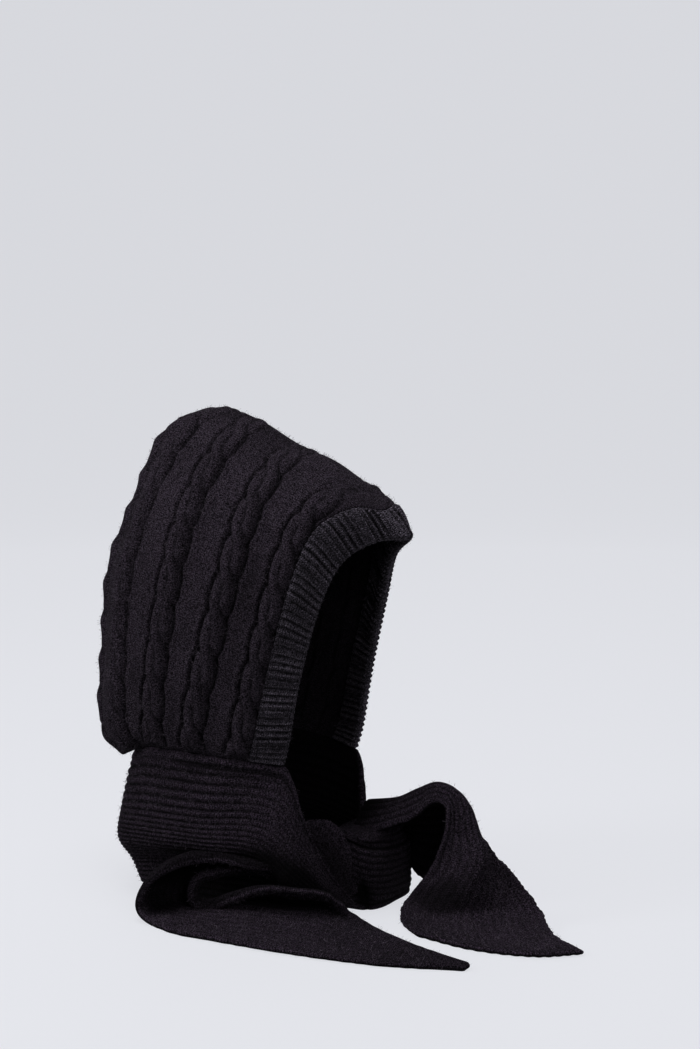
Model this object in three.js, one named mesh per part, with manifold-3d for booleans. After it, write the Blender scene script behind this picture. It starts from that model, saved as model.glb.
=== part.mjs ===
// A cable-knit snood hood that stands on its scarf: a hood with a ribbed face band, sewn to a wide
// ribbed scarf that goes round the neck, is knotted in front and ends in two pointed ties.
// Millimetres, +Z up. The face opening looks along -Y, the wearer's right is -X, and the origin is at
// the middle of the footprint, on the surface that the hood stands on.
import * as THREE from "three";
import { mergeVertices } from "three/addons/utils/BufferGeometryUtils.js";
import Module from "manifold-3d";

// Driving sizes.
const hoodWidth = 202; // widest part of the hood, side to side
const hoodDepth = 300; // forward peak of the face band to the back of the head
const hoodHeight = 326; // neck seam to crown
const neckRise = 136; // floor to neck seam
const faceTurn = 0.3; // how much further forward the left half of the face edge stands,
const faceTurnFrom = 0.36; // from this share of the depth in front of the neck
const hoodWall = 5; // cable-knit fabric
const bandWall = 6; // ribbed face band
const faceBandWidth = 35; // across the ribs
const panelFlatWidth = 290; // back seam to face edge along the fabric
const cableWidth = 23;
const cableRise = 3; // how far a cable stands above the plain knit
const grooveDepth = 1.2; // the gutter beside each cable
const cableCount = 5; // on each half of the hood
const cablePitch = 49.3; // from one cable to the next
const ribPitch = 6.4; // ribs of the face band
const ribRise = 1.4;
const scarfWall = 5;
const scarfDrop = 8; // how much lower the scarf hangs at the wearer's left front corner, per 100 of width
const knotWidth = 90;
const knotHeight = 72;
const knotDepth = 60;
const tieWall = 4.5;
const rightTieSpread = 200; // how far it lies out to the wearer's right
const rightTieReach = 300; // neck to tip
const rightTieRise = 60; // height of its fold
const leftTieSpread = 100;
const leftTieReach = 370;
const leftTieRise = 120; // height of its arch
const floorPress = 1; // fabric this near the floor lies on it
const seamGap = 0.3; // between pieces that are sewn or pressed together
const bandSeam = 0.9; // between the hood and its face band, whose facets differ

const V = (x, y, z) => new THREE.Vector3(x, y, z);
const halfWidth = hoodWidth / 2;

// The hood's half as sections from the back seam (at 0) to the face edge (at 1). Each column is a
// point of that section's arch, from the neck up to the ridge: out and back are shares of half the
// width and of the depth, up is a share of the height above the neck seam.
const hoodSections = [
  {
    at: 0.0, neck: [0, 0.395, -0.006], nape: [0, 0.48, 0.056], waist: [0, 0.487, 0.258],
    temple: [0, 0.462, 0.534], shoulder: [0, 0.365, 0.755], eave: [0, 0.33, 0.895],
    ridge: [0, 0.27, 0.967],
  },
  {
    at: 0.1, neck: [0.245, 0.383, -0.006], nape: [0.28, 0.48, 0.056], waist: [0.289, 0.479, 0.258],
    temple: [0.282, 0.452, 0.534], shoulder: [0.235, 0.351, 0.761], eave: [0.118, 0.301, 0.915],
    ridge: [0, 0.204, 0.992],
  },
  {
    at: 0.24, neck: [0.564, 0.327, 0.004], nape: [0.682, 0.402, 0.06], waist: [0.684, 0.402, 0.258],
    temple: [0.625, 0.382, 0.534], shoulder: [0.486, 0.292, 0.777], eave: [0.262, 0.223, 0.951],
    ridge: [0, 0.128, 0.999],
  },
  {
    at: 0.41, neck: [0.785, 0.223, 0.022], nape: [0.904, 0.241, 0.08], waist: [0.936, 0.241, 0.258],
    temple: [0.88, 0.213, 0.534], shoulder: [0.714, 0.163, 0.772], eave: [0.357, 0.093, 0.939],
    ridge: [0, 0.041, 0.984],
  },
  {
    at: 0.52, neck: [0.867, 0.147, 0.027], nape: [0.955, 0.155, 0.08], waist: [0.985, 0.13, 0.258],
    temple: [0.927, 0.076, 0.529], shoulder: [0.757, 0.023, 0.753], eave: [0.388, -0.023, 0.892],
    ridge: [0, -0.051, 0.939],
  },
  {
    at: 0.64, neck: [0.908, 0.043, 0.027], nape: [0.972, 0.049, 0.08], waist: [0.99, 0.008, 0.258],
    temple: [0.92, -0.065, 0.526], shoulder: [0.757, -0.116, 0.732], eave: [0.4, -0.15, 0.856],
    ridge: [0, -0.163, 0.896],
  },
  {
    at: 0.78, neck: [0.899, -0.08, 0.022], nape: [0.938, -0.087, 0.08], waist: [0.925, -0.137, 0.258],
    temple: [0.863, -0.2, 0.523], shoulder: [0.711, -0.251, 0.701], eave: [0.39, -0.281, 0.807],
    ridge: [0, -0.316, 0.841],
  },
  {
    at: 0.88, neck: [0.849, -0.155, 0.016], nape: [0.87, -0.18, 0.08], waist: [0.867, -0.224, 0.261],
    temple: [0.83, -0.3, 0.522], shoulder: [0.665, -0.356, 0.675], eave: [0.366, -0.431, 0.733],
    ridge: [0, -0.475, 0.72],
  },
  {
    at: 1.0, neck: [0.72, -0.257, 0.004], nape: [0.73, -0.28, 0.08], waist: [0.72, -0.315, 0.25],
    temple: [0.65, -0.373, 0.457], shoulder: [0.48, -0.42, 0.58], eave: [0.25, -0.49, 0.635],
    ridge: [0, -0.555, 0.645],
  },
];
const archColumns = ["neck", "nape", "waist", "temple", "shoulder", "eave", "ridge"];

// The scarf round the neck, from the knot on the wearer's left, round the back, to the knot on the
// right. Rows with a seam share hang from the hood's neck edge at that section; the others give
// their own top. Out and back are shares of half the hood's width and depth, up of the neck's rise.
const scarfSections = [
  {
    top: [0.32, -0.352, 0.56], bulge: [0.34, -0.355, 0.43], hem: [0.34, -0.355, 0.28],
    tuck: [0.33, -0.352, 0.13], foot: [0.32, -0.35, 0],
  },
  {
    top: [0.6, -0.3, 0.57], bulge: [0.62, -0.302, 0.43], hem: [0.62, -0.302, 0.28],
    tuck: [0.61, -0.3, 0.13], foot: [0.6, -0.298, 0],
  },
  {
    side: 1, seam: 1.0, bulge: [0.8, -0.26, 0.44], hem: [0.84, -0.25, 0.26], tuck: [0.8, -0.245, 0.11],
    foot: [0.82, -0.24, 0],
  },
  {
    side: 1, seam: 0.6, bulge: [1.02, 0.01, 0.5], hem: [1.06, 0.01, 0.3], tuck: [0.96, 0.007, 0.13],
    foot: [1.0, 0.007, 0],
  },
  {
    side: 1, seam: 0.25, bulge: [0.7, 0.337, 0.56], hem: [0.72, 0.34, 0.33], tuck: [0.62, 0.31, 0.14],
    foot: [0.66, 0.317, 0],
  },
  {
    side: 1, seam: 0.0, bulge: [0, 0.423, 0.58], hem: [0, 0.423, 0.34], tuck: [0, 0.373, 0.15],
    foot: [0, 0.38, 0],
  },
  {
    side: -1, seam: 0.25, bulge: [-0.71, 0.338, 0.6], hem: [-0.76, 0.343, 0.38],
    tuck: [-0.6, 0.283, 0.2], foot: [-0.6, 0.28, 0],
  },
  {
    side: -1, seam: 0.42, bulge: [-0.92, 0.203, 0.64], hem: [-0.98, 0.203, 0.42],
    tuck: [-0.74, 0.157, 0.26], foot: [-0.72, 0.16, 0],
  },
  {
    side: -1, seam: 0.7, bulge: [-1.03, -0.03, 0.66], hem: [-1.09, -0.04, 0.45],
    tuck: [-0.78, -0.04, 0.3], foot: [-0.74, -0.03, 0],
  },
  {
    side: -1, seam: 1.0, bulge: [-0.92, -0.237, 0.66], hem: [-1.0, -0.217, 0.42],
    tuck: [-0.76, -0.2, 0.28], foot: [-0.68, -0.197, 0],
  },
  {
    top: [-0.73, -0.333, 0.66], bulge: [-0.85, -0.333, 0.44], hem: [-0.92, -0.31, 0.25],
    tuck: [-0.78, -0.28, 0.16], foot: [-0.66, -0.257, 0],
  },
  {
    top: [-0.62, -0.383, 0.34], bulge: [-0.68, -0.387, 0.22], hem: [-0.74, -0.367, 0.13],
    tuck: [-0.7, -0.333, 0.1], foot: [-0.62, -0.303, 0],
  },
  {
    top: [-0.4, -0.45, 0.05], bulge: [-0.44, -0.437, 0.04], hem: [-0.49, -0.417, 0.03],
    tuck: [-0.53, -0.39, 0.02], foot: [-0.56, -0.363, 0],
  },
];
const scarfColumns = ["top", "bulge", "hem", "tuck", "foot"];

// The knot's rings from the floor up: up is a share of its height, the rest of its width and depth.
const knotRings = [
  { up: 0.0, out: 0.06, front: 2.08, wide: 0.44, deep: 0.34 },
  { up: 0.06, out: 0.06, front: 2.08, wide: 0.5, deep: 0.44 },
  { up: 0.35, out: 0.08, front: 2.1, wide: 0.54, deep: 0.5 },
  { up: 0.65, out: 0.08, front: 2.1, wide: 0.53, deep: 0.49 },
  { up: 0.8, out: 0.08, front: 2.08, wide: 0.49, deep: 0.43 },
  { up: 0.85, out: 0.08, front: 2.08, wide: 0.45, deep: 0.38 },
  { up: 0.92, out: 0.08, front: 2.07, wide: 0.48, deep: 0.42 },
  { up: 1.0, out: 0.08, front: 2.05, wide: 0.42, deep: 0.34 },
];

// The loop that stands out of the knot: its rim, its middle and the edge against the neck, from the
// top down. Out and front are shares of the knot's width, up of its height.
const knotLoopSections = [
  { rim: [-0.511, 0.963, 1.102], middle: [-0.578, 0.964, 1.089], root: [-0.644, 0.957, 1.075] },
  { rim: [-0.489, 1.077, 1.162], middle: [-0.556, 1.047, 1.039], root: [-0.622, 1.017, 0.929] },
  { rim: [-0.467, 1.203, 1.149], middle: [-0.533, 1.143, 0.954], root: [-0.6, 1.087, 0.778] },
  { rim: [-0.444, 1.316, 1.048], middle: [-0.5, 1.221, 0.832], root: [-0.556, 1.135, 0.633] },
  { rim: [-0.422, 1.381, 0.912], middle: [-0.467, 1.286, 0.708], root: [-0.522, 1.191, 0.492] },
  { rim: [-0.4, 1.422, 0.741], middle: [-0.444, 1.343, 0.555], root: [-0.489, 1.256, 0.337] },
  { rim: [-0.378, 1.459, 0.491], middle: [-0.411, 1.394, 0.367], root: [-0.456, 1.321, 0.197] },
  { rim: [-0.356, 1.481, 0.239], middle: [-0.389, 1.438, 0.18], root: [-0.422, 1.387, 0.057] },
];
const knotLoopColumns = ["rim", "middle", "root"];

// The tie on the wearer's right: it leaves the knot backwards beside the neck, turns under in a
// fold and lies forward on the floor to its tip. Out and back are shares of its spread and reach
// from the front of the neck, up is a share of the fold's height.
const rightTieSections = [
  {
    outer: [0.36, 0.373, 0.667], crest: [0.29, 0.373, 0.733], middle: [0.22, 0.367, 0.6],
    inner: [0.15, 0.353, 0.433],
  },
  {
    outer: [0.54, 0.207, 0.833], crest: [0.46, 0.2, 0.867], middle: [0.4, 0.207, 0.633],
    inner: [0.38, 0.213, 0.4],
  },
  {
    outer: [0.56, 0.1, 0.967], crest: [0.47, 0.087, 0.95], middle: [0.42, 0.093, 0.6],
    inner: [0.49, 0.127, 0.5],
  },
  {
    outer: [0.64, 0.02, 0.95], crest: [0.52, -0.007, 0.933], middle: [0.46, 0.013, 0.567],
    inner: [0.54, 0.073, 0.6],
  },
  {
    outer: [0.75, -0.027, 0.817], crest: [0.6, -0.067, 0.767], middle: [0.49, -0.02, 0.467],
    inner: [0.58, 0.04, 0.55],
  },
  {
    outer: [0.82, -0.06, 0.533], crest: [0.66, -0.1, 0.467], middle: [0.52, -0.033, 0.333],
    inner: [0.61, 0.033, 0.4],
  },
  {
    outer: [0.815, -0.083, 0.217], crest: [0.69, -0.097, 0.133], middle: [0.54, -0.027, 0.133],
    inner: [0.61, 0.04, 0.217],
  },
  {
    outer: [0.84, -0.033, 0.058], crest: [0.72, -0.02, 0.05], middle: [0.52, 0.027, 0.1],
    inner: [0.59, 0.087, 0.333],
  },
  {
    outer: [0.91, 0.083, 0.05], crest: [0.74, 0.09, 0.05], middle: [0.47, 0.1, 0.133],
    inner: [0.59, 0.16, 0.5],
  },
  {
    outer: [0.925, 0.217, 0.05], crest: [0.72, 0.22, 0.05], middle: [0.45, 0.2, 0.2],
    inner: [0.57, 0.257, 0.633],
  },
  {
    outer: [0.935, 0.367, 0.05], crest: [0.7, 0.353, 0.05], middle: [0.44, 0.313, 0.2],
    inner: [0.56, 0.373, 0.667],
  },
  {
    outer: [0.935, 0.517, 0.05], crest: [0.69, 0.493, 0.05], middle: [0.41, 0.42, 0.2],
    inner: [0.51, 0.473, 0.567],
  },
  {
    outer: [0.92, 0.65, 0.05], crest: [0.74, 0.62, 0.05], middle: [0.54, 0.58, 0.058],
    inner: [0.42, 0.553, 0.133],
  },
  {
    outer: [0.88, 0.8, 0.05], crest: [0.78, 0.787, 0.05], middle: [0.67, 0.77, 0.05],
    inner: [0.58, 0.76, 0.05],
  },
  { outer: [0.775, 1, 0.05], crest: [0.76, 1, 0.05], middle: [0.745, 1, 0.05], inner: [0.73, 1, 0.05] },
];
const rightTieColumns = ["outer", "crest", "middle", "inner"];

// The tie on the wearer's left: it comes up out of the knot, arches over and falls in a fan on the
// floor in front. Out and front are shares of its spread and reach from the knot, up of its arch.
const leftTieSections = [
  {
    near: [0.08, 0.304, 0.51], crest: [-0.2, 0.327, 0.729], flank: [-0.48, 0.306, 0.523],
    hem: [-0.52, 0.319, 0.329],
  },
  {
    near: [0.12, 0.407, 0.623], crest: [-0.14, 0.412, 0.801], flank: [-0.46, 0.379, 0.538],
    hem: [-0.5, 0.363, 0.247],
  },
  {
    near: [0.14, 0.485, 0.725], crest: [-0.08, 0.48, 0.904], flank: [-0.4, 0.438, 0.57],
    hem: [-0.46, 0.405, 0.191],
  },
  {
    near: [0.14, 0.539, 0.866], crest: [-0.04, 0.534, 0.969], flank: [-0.32, 0.504, 0.609],
    hem: [-0.4, 0.459, 0.13],
  },
  {
    near: [0.18, 0.583, 0.86], crest: [0, 0.585, 0.948], flank: [-0.24, 0.565, 0.688],
    hem: [-0.34, 0.528, 0.284],
  },
  {
    near: [0.2, 0.586, 0.719], crest: [0.04, 0.621, 0.856], flank: [-0.16, 0.612, 0.648],
    hem: [-0.26, 0.587, 0.451],
  },
  {
    near: [0.18, 0.569, 0.543], crest: [0.12, 0.649, 0.686], flank: [-0.06, 0.642, 0.608],
    hem: [-0.14, 0.641, 0.551],
  },
  {
    near: [0.1, 0.525, 0.314], crest: [0.24, 0.683, 0.514], flank: [0, 0.678, 0.438],
    hem: [-0.06, 0.695, 0.467],
  },
  {
    near: [0.06, 0.475, 0.116], crest: [0.3, 0.653, 0.266], flank: [0.08, 0.713, 0.245],
    hem: [0, 0.76, 0.331],
  },
  {
    near: [0.342, 0.485, 0.067], crest: [0.332, 0.619, 0.058], flank: [0.186, 0.735, 0.083],
    hem: [0.034, 0.826, 0.117],
  },
  {
    near: [0.597, 0.52, 0.025], crest: [0.768, 0.684, 0.025], flank: [0.538, 0.801, 0.025],
    hem: [0.367, 0.895, 0.042],
  },
  {
    near: [0.859, 0.591, 0.025], crest: [1.003, 0.76, 0.025], flank: [0.936, 0.911, 0.025],
    hem: [0.667, 1.005, 0.025],
  },
];
const leftTieColumns = ["near", "crest", "flank", "hem"];

// A smooth curve through points, at a share of the way along its list of knots.
function through(points, knots, share) {
  const last = points.length - 1;
  let i = 0;
  while (i < last - 1 && share > knots[i + 1]) i += 1;
  const span = knots[i + 1] - knots[i];
  const t = (share - knots[i]) / span;
  const slope = (j) => {
    const a = Math.max(j - 1, 0);
    const b = Math.min(j + 1, last);
    return points[b].clone().sub(points[a]).divideScalar(knots[b] - knots[a]);
  };
  const t2 = t * t;
  const t3 = t2 * t;
  return points[i]
    .clone()
    .multiplyScalar(2 * t3 - 3 * t2 + 1)
    .addScaledVector(slope(i), (t3 - 2 * t2 + t) * span)
    .addScaledVector(points[i + 1], 3 * t2 - 2 * t3)
    .addScaledVector(slope(i + 1), (t3 - t2) * span);
}

// Evenly spread knots for a list of a given length.
const even = (count) => Array.from({ length: count }, (_, i) => i / (count - 1));

// A surface through a net of points: rows of points, and where each row and column lies.
function net(rows, rowKnots, columnKnots) {
  return (along, across) =>
    through(
      rows.map((row) => through(row, columnKnots, across)),
      rowKnots,
      along,
    );
}

// The knots of a list of rows, spaced by the distance between the rows' middles.
function spacedKnots(rows) {
  const steps = [0];
  for (let i = 1; i < rows.length; i += 1) {
    let far = 0;
    rows[i].forEach((p, j) => (far += p.distanceTo(rows[i - 1][j])));
    steps.push(steps[i - 1] + far);
  }
  return steps.map((s) => s / steps[steps.length - 1]);
}

// The hood's outer skin. across runs from the wearer's right neck edge (0) over the ridge
// (0.5) to the left one (1), and along runs from the back seam (0) to the face edge (1).
function hoodNet() {
  const place = ([out, back, up], side) => {
    const drop = (scarfDrop / 100) * halfWidth * out * (side > 0 ? 1 : 0) * (1 - up);
    const reach = 1 + Math.max(0, -back) * 3;
    const forward = side > 0 ? Math.max(0, -back - faceTurnFrom) * faceTurn : 0;
    return V(
      side * out * halfWidth,
      (back - forward) * hoodDepth,
      neckRise + up * hoodHeight - drop * reach,
    );
  };
  const rows = hoodSections.map((row) => [
    ...archColumns.map((column) => place(row[column], -1)),
    ...archColumns
      .slice(0, -1)
      .reverse()
      .map((column) => place(row[column], 1)),
  ]);
  const mirrored = rows[1].map((p, i) => {
    const twin = rows[1][rows[1].length - 1 - i];
    return V(twin.x, twin.y, twin.z);
  });
  const knots = hoodSections.map((row) => row.at);
  return net([mirrored, ...rows], [-knots[1], ...knots], even(rows[0].length));
}
const hoodSurface = hoodNet();

// The surface's outward normal, from small steps along it.
function normalAt(surface, along, across, turn) {
  const step = 1e-3;
  const a = surface(Math.min(along + step, 1), across).sub(surface(Math.max(along - step, 0), across));
  const b = surface(along, Math.min(across + step, 1)).sub(surface(along, Math.max(across - step, 0)));
  return a.cross(b).normalize().multiplyScalar(turn);
}

// A closed wall: two skins on a grid of (along, across) shares, joined round their edges. outer and
// inner say how far each skin lies from the surface, and rise what the outer one adds at a point.
// turn is 1 or -1, whichever makes the outer skin face out. seamed joins the first row to itself,
// half to half, as a sewn back seam does.
function wall({ surface, alongs, acrosses, outer, inner, rise = () => 0, turn = 1, seamed = false }) {
  const rows = alongs.length;
  const columns = acrosses.length;
  const skin = (side) =>
    alongs.flatMap((along) =>
      acrosses.map((across) => {
        const n = normalAt(surface, along, across, turn);
        if (seamed && along === alongs[0]) n.set(0, n.y, n.z).normalize();
        const lift = side > 0 ? outer + rise(along, across) : -inner;
        return surface(along, across).addScaledVector(n, lift);
      }),
    );
  const points = [...skin(1), ...skin(-1)];
  const back = rows * columns;
  const id = (i, j, base) => {
    const folded = seamed && i === 0 && j > (columns - 1) / 2;
    return base + i * columns + (folded ? columns - 1 - j : j);
  };
  const faces = [];
  const quad = (a, b, c, d) => {
    const corners = [a, b, c, d].filter((p, i, all) => p !== all[(i + 3) % 4]);
    if (new Set(corners).size < 3) return;
    faces.push([corners[0], corners[1], corners[2]]);
    if (corners.length === 4) faces.push([corners[0], corners[2], corners[3]]);
  };
  for (let i = 0; i < rows - 1; i += 1) {
    for (let j = 0; j < columns - 1; j += 1) {
      const at = (base) => [id(i, j, base), id(i + 1, j, base), id(i + 1, j + 1, base), id(i, j + 1, base)];
      quad(...at(0));
      quad(...at(back).reverse());
    }
    quad(id(i, 0, 0), id(i, 0, back), id(i + 1, 0, back), id(i + 1, 0, 0));
    const last = columns - 1;
    quad(id(i + 1, last, 0), id(i + 1, last, back), id(i, last, back), id(i, last, 0));
  }
  for (let j = 0; j < columns - 1; j += 1) {
    const end = rows - 1;
    if (!seamed) quad(id(0, j, 0), id(0, j + 1, 0), id(0, j + 1, back), id(0, j, back));
    quad(id(end, j + 1, 0), id(end, j, 0), id(end, j, back), id(end, j + 1, back));
  }
  return solid(points, turn > 0 ? faces : faces.map((f) => [...f].reverse()));
}

// A geometry from points and triangles.
function solid(points, faces) {
  const geometry = new THREE.BufferGeometry();
  const used = new Map();
  const kept = [];
  const index = faces.flat().map((i) => {
    if (!used.has(i)) {
      used.set(i, kept.length);
      kept.push(points[i]);
    }
    return used.get(i);
  });
  geometry.setAttribute(
    "position",
    new THREE.Float32BufferAttribute(
      kept.flatMap((p) => p.toArray()),
      3,
    ),
  );
  geometry.setIndex(index);
  geometry.computeVertexNormals();
  return geometry;
}

const wasm = await Module();
wasm.setup();

// A geometry as a manifold-3d solid, and back.
function toManifold(geometry) {
  const bare = geometry.clone();
  bare.deleteAttribute("normal");
  bare.deleteAttribute("uv");
  const merged = mergeVertices(bare, 1e-4);
  return new wasm.Manifold(
    new wasm.Mesh({
      numProp: 3,
      vertProperties: new Float32Array(merged.getAttribute("position").array),
      triVerts: new Uint32Array(merged.index.array),
    }),
  );
}
function fromManifold(made) {
  const mesh = made.getMesh();
  const points = [];
  for (let i = 0; i < mesh.numVert; i += 1) {
    const p = mesh.vertProperties.subarray(i * mesh.numProp, i * mesh.numProp + 3);
    points.push(V(p[0], p[1], p[2]));
  }
  const faces = [];
  for (let i = 0; i < mesh.triVerts.length; i += 3) faces.push([...mesh.triVerts.subarray(i, i + 3)]);
  return solid(points, faces);
}

const knit = (color, roughness) => new THREE.MeshStandardMaterial({ color, roughness, metalness: 0 });
const cableKnit = knit(0x262428, 0.95);
const ribKnit = knit(0x2b292d, 0.95);
const scarfKnit = knit(0x252327, 0.96);
const object = new THREE.Group();
function add(name, geometry, material) {
  const mesh = new THREE.Mesh(geometry, material);
  mesh.name = name;
  object.add(mesh);
}

const bandShare = 1 - faceBandWidth / panelFlatWidth;

// Cables stand up from the plain knit between two gutters. Their two strands take turns on top, so
// every other row of the grid lifts the other strand.
const cableCentres = Array.from(
  { length: cableCount },
  (_, i) => bandShare - (cableWidth / 2 + 1 + i * cablePitch) / panelFlatWidth,
);
const strand = cableWidth / 4 / panelFlatWidth;
const crownShare = 0.2; // nearer the back seam than this, a cable sinks into the crown's gathers
const crownFade = 6; // rows from the ridge over which it does
function hoodColumns() {
  const lines = [0, bandShare - bandSeam / 2 / panelFlatWidth];
  cableCentres.forEach((centre) => [-2, -1, 1, 2].forEach((k) => lines.push(centre + k * strand)));
  cableCentres.forEach((centre) => lines.push(centre - cablePitch / 2 / panelFlatWidth));
  return lines.filter((a) => a >= 0).sort((a, b) => a - b);
}
function cableLift(along, across) {
  const nearest = cableCentres.find((centre) => Math.abs(along - centre) < 2.5 * strand);
  if (nearest === undefined) return 0;
  const k = Math.round((along - nearest) / strand);
  if (Math.abs(k) === 2) return -grooveDepth * Math.min(1, Math.min(across, 1 - across) * hoodRows);
  const twist = Math.cos(across * hoodRows * Math.PI) * Math.sign(k);
  const fromNeck = Math.min(across, 1 - across) * hoodRows;
  const fromCrown = nearest < crownShare ? Math.abs(across - 0.5) * hoodRows : crownFade;
  return cableRise * (0.75 + 0.25 * twist) * Math.min(1, fromNeck / 2, fromCrown / crownFade);
}
const hoodRows = 40;
add(
  "hood",
  wall({
    surface: hoodSurface,
    alongs: hoodColumns(),
    acrosses: even(hoodRows + 1),
    outer: 0,
    inner: hoodWall,
    rise: cableLift,
    turn: 1,
    seamed: true,
  }),
  cableKnit,
);

// The face band goes on where the hood stops, with a rib at every pitch along the face edge.
function faceBand() {
  const samples = even(201).map((share) => hoodSurface(1, share));
  const edgeLength = samples.slice(1).reduce((sum, p, i) => sum + p.distanceTo(samples[i]), 0);
  const ribs = Math.round(edgeLength / ribPitch);
  const from = bandShare + bandSeam / 2 / panelFlatWidth;
  return wall({
    surface: hoodSurface,
    alongs: [from, (from + 1) / 2, 1],
    acrosses: even(2 * ribs + 1),
    outer: 0,
    inner: bandWall,
    rise: (along, across) => (Math.round(across * 2 * ribs) % 2 ? ribRise : 0),
    turn: 1,
  });
}
add("face_band", faceBand(), ribKnit);

// The scarf round the neck hangs from the hood's neck edge, a seam's gap below it. Between two rows
// of its table its top is put back on that edge, and what lies lower follows less and less.
function scarfNet() {
  const place = ([out, back, up]) => V(out * halfWidth, back * hoodDepth, up * neckRise);
  const onHood = (seam, side) => hoodSurface(seam, side > 0 ? 1 : 0).sub(V(0, 0, 2 * seamGap));
  const rows = scarfSections.map((row) =>
    scarfColumns.map((column) => {
      if (column !== "top" || row.seam === undefined) return place(row[column]);
      return onHood(row.seam, row.side);
    }),
  );
  const knots = spacedKnots(rows);
  const surface = net(rows, knots, even(scarfColumns.length));
  return (along, across) => {
    const point = surface(along, across);
    const i = knots.findIndex((knot, k) => k < knots.length - 1 && along <= knots[k + 1]);
    const [from, to] = [scarfSections[i], scarfSections[i + 1]];
    if (from.seam === undefined || to.seam === undefined) return point;
    const share = (along - knots[i]) / (knots[i + 1] - knots[i]);
    const side = from.seam === 0 ? to.side : from.side;
    const top = onHood(from.seam + (to.seam - from.seam) * share, side);
    return point.addScaledVector(top.sub(surface(along, 0)), Math.max(0, 1 - 3 * across) ** 2);
  };
}

// What lies below the surface that the hood stands on is pressed flat against it.
function settle(geometry) {
  const position = geometry.getAttribute("position");
  for (let i = 0; i < position.count; i += 1) {
    if (position.getZ(i) < floorPress) position.setZ(i, 0);
  }
  return geometry;
}

// A body with every face moved out, for cutting a seam's gap into its neighbour.
function swollen(geometry, by) {
  const grown = geometry.clone();
  grown.computeVertexNormals();
  const position = grown.getAttribute("position");
  const normal = grown.getAttribute("normal");
  for (let i = 0; i < position.count; i += 1) {
    position.setXYZ(
      i,
      position.getX(i) + normal.getX(i) * by,
      position.getY(i) + normal.getY(i) * by,
      position.getZ(i) + normal.getZ(i) * by,
    );
  }
  return toManifold(grown);
}

// A geometry without what its neighbours take, as its largest piece.
function carved(geometry, neighbours) {
  let body = toManifold(geometry);
  neighbours.forEach((other) => (body = body.subtract(swollen(other, 2 * seamGap))));
  const parts = body.decompose().sort((a, b) => b.volume() - a.volume());
  return fromManifold(parts[0]);
}

const scarf = settle(
  wall({
    surface: scarfNet(),
    alongs: even(43),
    acrosses: even(10),
    outer: 0,
    inner: scarfWall,
    turn: 1,
  }),
);
add("neck_scarf", scarf, scarfKnit);

// The knot is a barrel of wrapped scarf: rings of the wrap from the floor up.
function knotBarrel() {
  const around = 28;
  const rings = knotRings.map((ring) =>
    even(around + 1)
      .slice(0, -1)
      .map((turn) => {
        const angle = 2 * Math.PI * turn;
        const squareness = 1 + 0.08 * Math.cos(4 * angle - Math.PI);
        return V(
          (ring.out + ring.wide * Math.cos(angle) * squareness) * knotWidth,
          -(ring.front + ring.deep * Math.sin(angle) * squareness) * knotDepth,
          ring.up * knotHeight,
        );
      }),
  );
  const points = rings.flat();
  const faces = [];
  const last = (rings.length - 1) * around;
  for (let k = 0; k < rings.length - 1; k += 1) {
    for (let i = 0; i < around; i += 1) {
      const j = (i + 1) % around;
      const [a, b] = [k * around + i, k * around + j];
      faces.push([a, a + around, b + around], [a, b + around, b]);
    }
  }
  const middle = (ring) => ring.reduce((sum, p) => sum.add(p), V(0, 0, 0)).divideScalar(around);
  points.push(middle(rings[0]), middle(rings[rings.length - 1]));
  for (let i = 0; i < around; i += 1) {
    const j = (i + 1) % around;
    faces.push([points.length - 2, i, j], [points.length - 1, last + j, last + i]);
  }
  return solid(points, faces);
}

// A length of the scarf's fabric through a table of sections, settled on the floor.
function fabric(sections, columns, size, counts) {
  const rows = sections.map((row) =>
    columns.map((column) => V(...row[column].map((share, i) => share * size[i]))),
  );
  return settle(
    wall({
      surface: net(rows, spacedKnots(rows), even(columns.length)),
      alongs: even(counts[0]),
      acrosses: even(counts[1]),
      outer: tieWall / 2,
      inner: tieWall / 2,
    }),
  );
}

// The knot is the barrel with the small loop of scarf that stands out of it beside the neck.
const barrel = knotBarrel();
const loop = fabric(knotLoopSections, knotLoopColumns, [knotWidth, -knotWidth, knotHeight], [11, 5]);
const knot = carved(fromManifold(toManifold(barrel).add(toManifold(loop))), [scarf]);
add("knot", knot, scarfKnit);

// The ties are cut back where they meet the pieces that hold them.
const rightSize = [-rightTieSpread, -rightTieReach, rightTieRise];
const leftSize = [-leftTieSpread, -leftTieReach, leftTieRise];
const rightTie = fabric(rightTieSections, rightTieColumns, rightSize, [36, 9]);
const leftTie = fabric(leftTieSections, leftTieColumns, leftSize, [32, 9]);
add("right_tie", carved(rightTie, [scarf, knot]), scarfKnit);
add("left_tie", carved(leftTie, [scarf, knot]), scarfKnit);

// The origin goes to the middle of the footprint.
object.updateMatrixWorld(true);
const footprint = new THREE.Box3().setFromObject(object, true);
const middle = footprint.getCenter(V(0, 0, 0));
object.children.forEach((mesh) => mesh.position.set(-middle.x, -middle.y, -footprint.min.z));

export default object;
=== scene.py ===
"""Snood hood: a black cable-knit hood that stands on its own ribbed scarf.

The hood is sewn to a wide ribbed scarf, which goes round the neck, is knotted in front and ends in two
pointed ties. Every sheet of fabric is built as two skins over one net of sections, in millimetres, in
the design frame of the part, and moved to the row frame in metres when its mesh is made. The face
opening looks along -Y, the wearer's right is -X and +Z is up.
"""

import logging
import math
from collections.abc import Callable, Sequence
from dataclasses import dataclass, field
from enum import Enum
from functools import partial
from typing import NamedTuple

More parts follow.
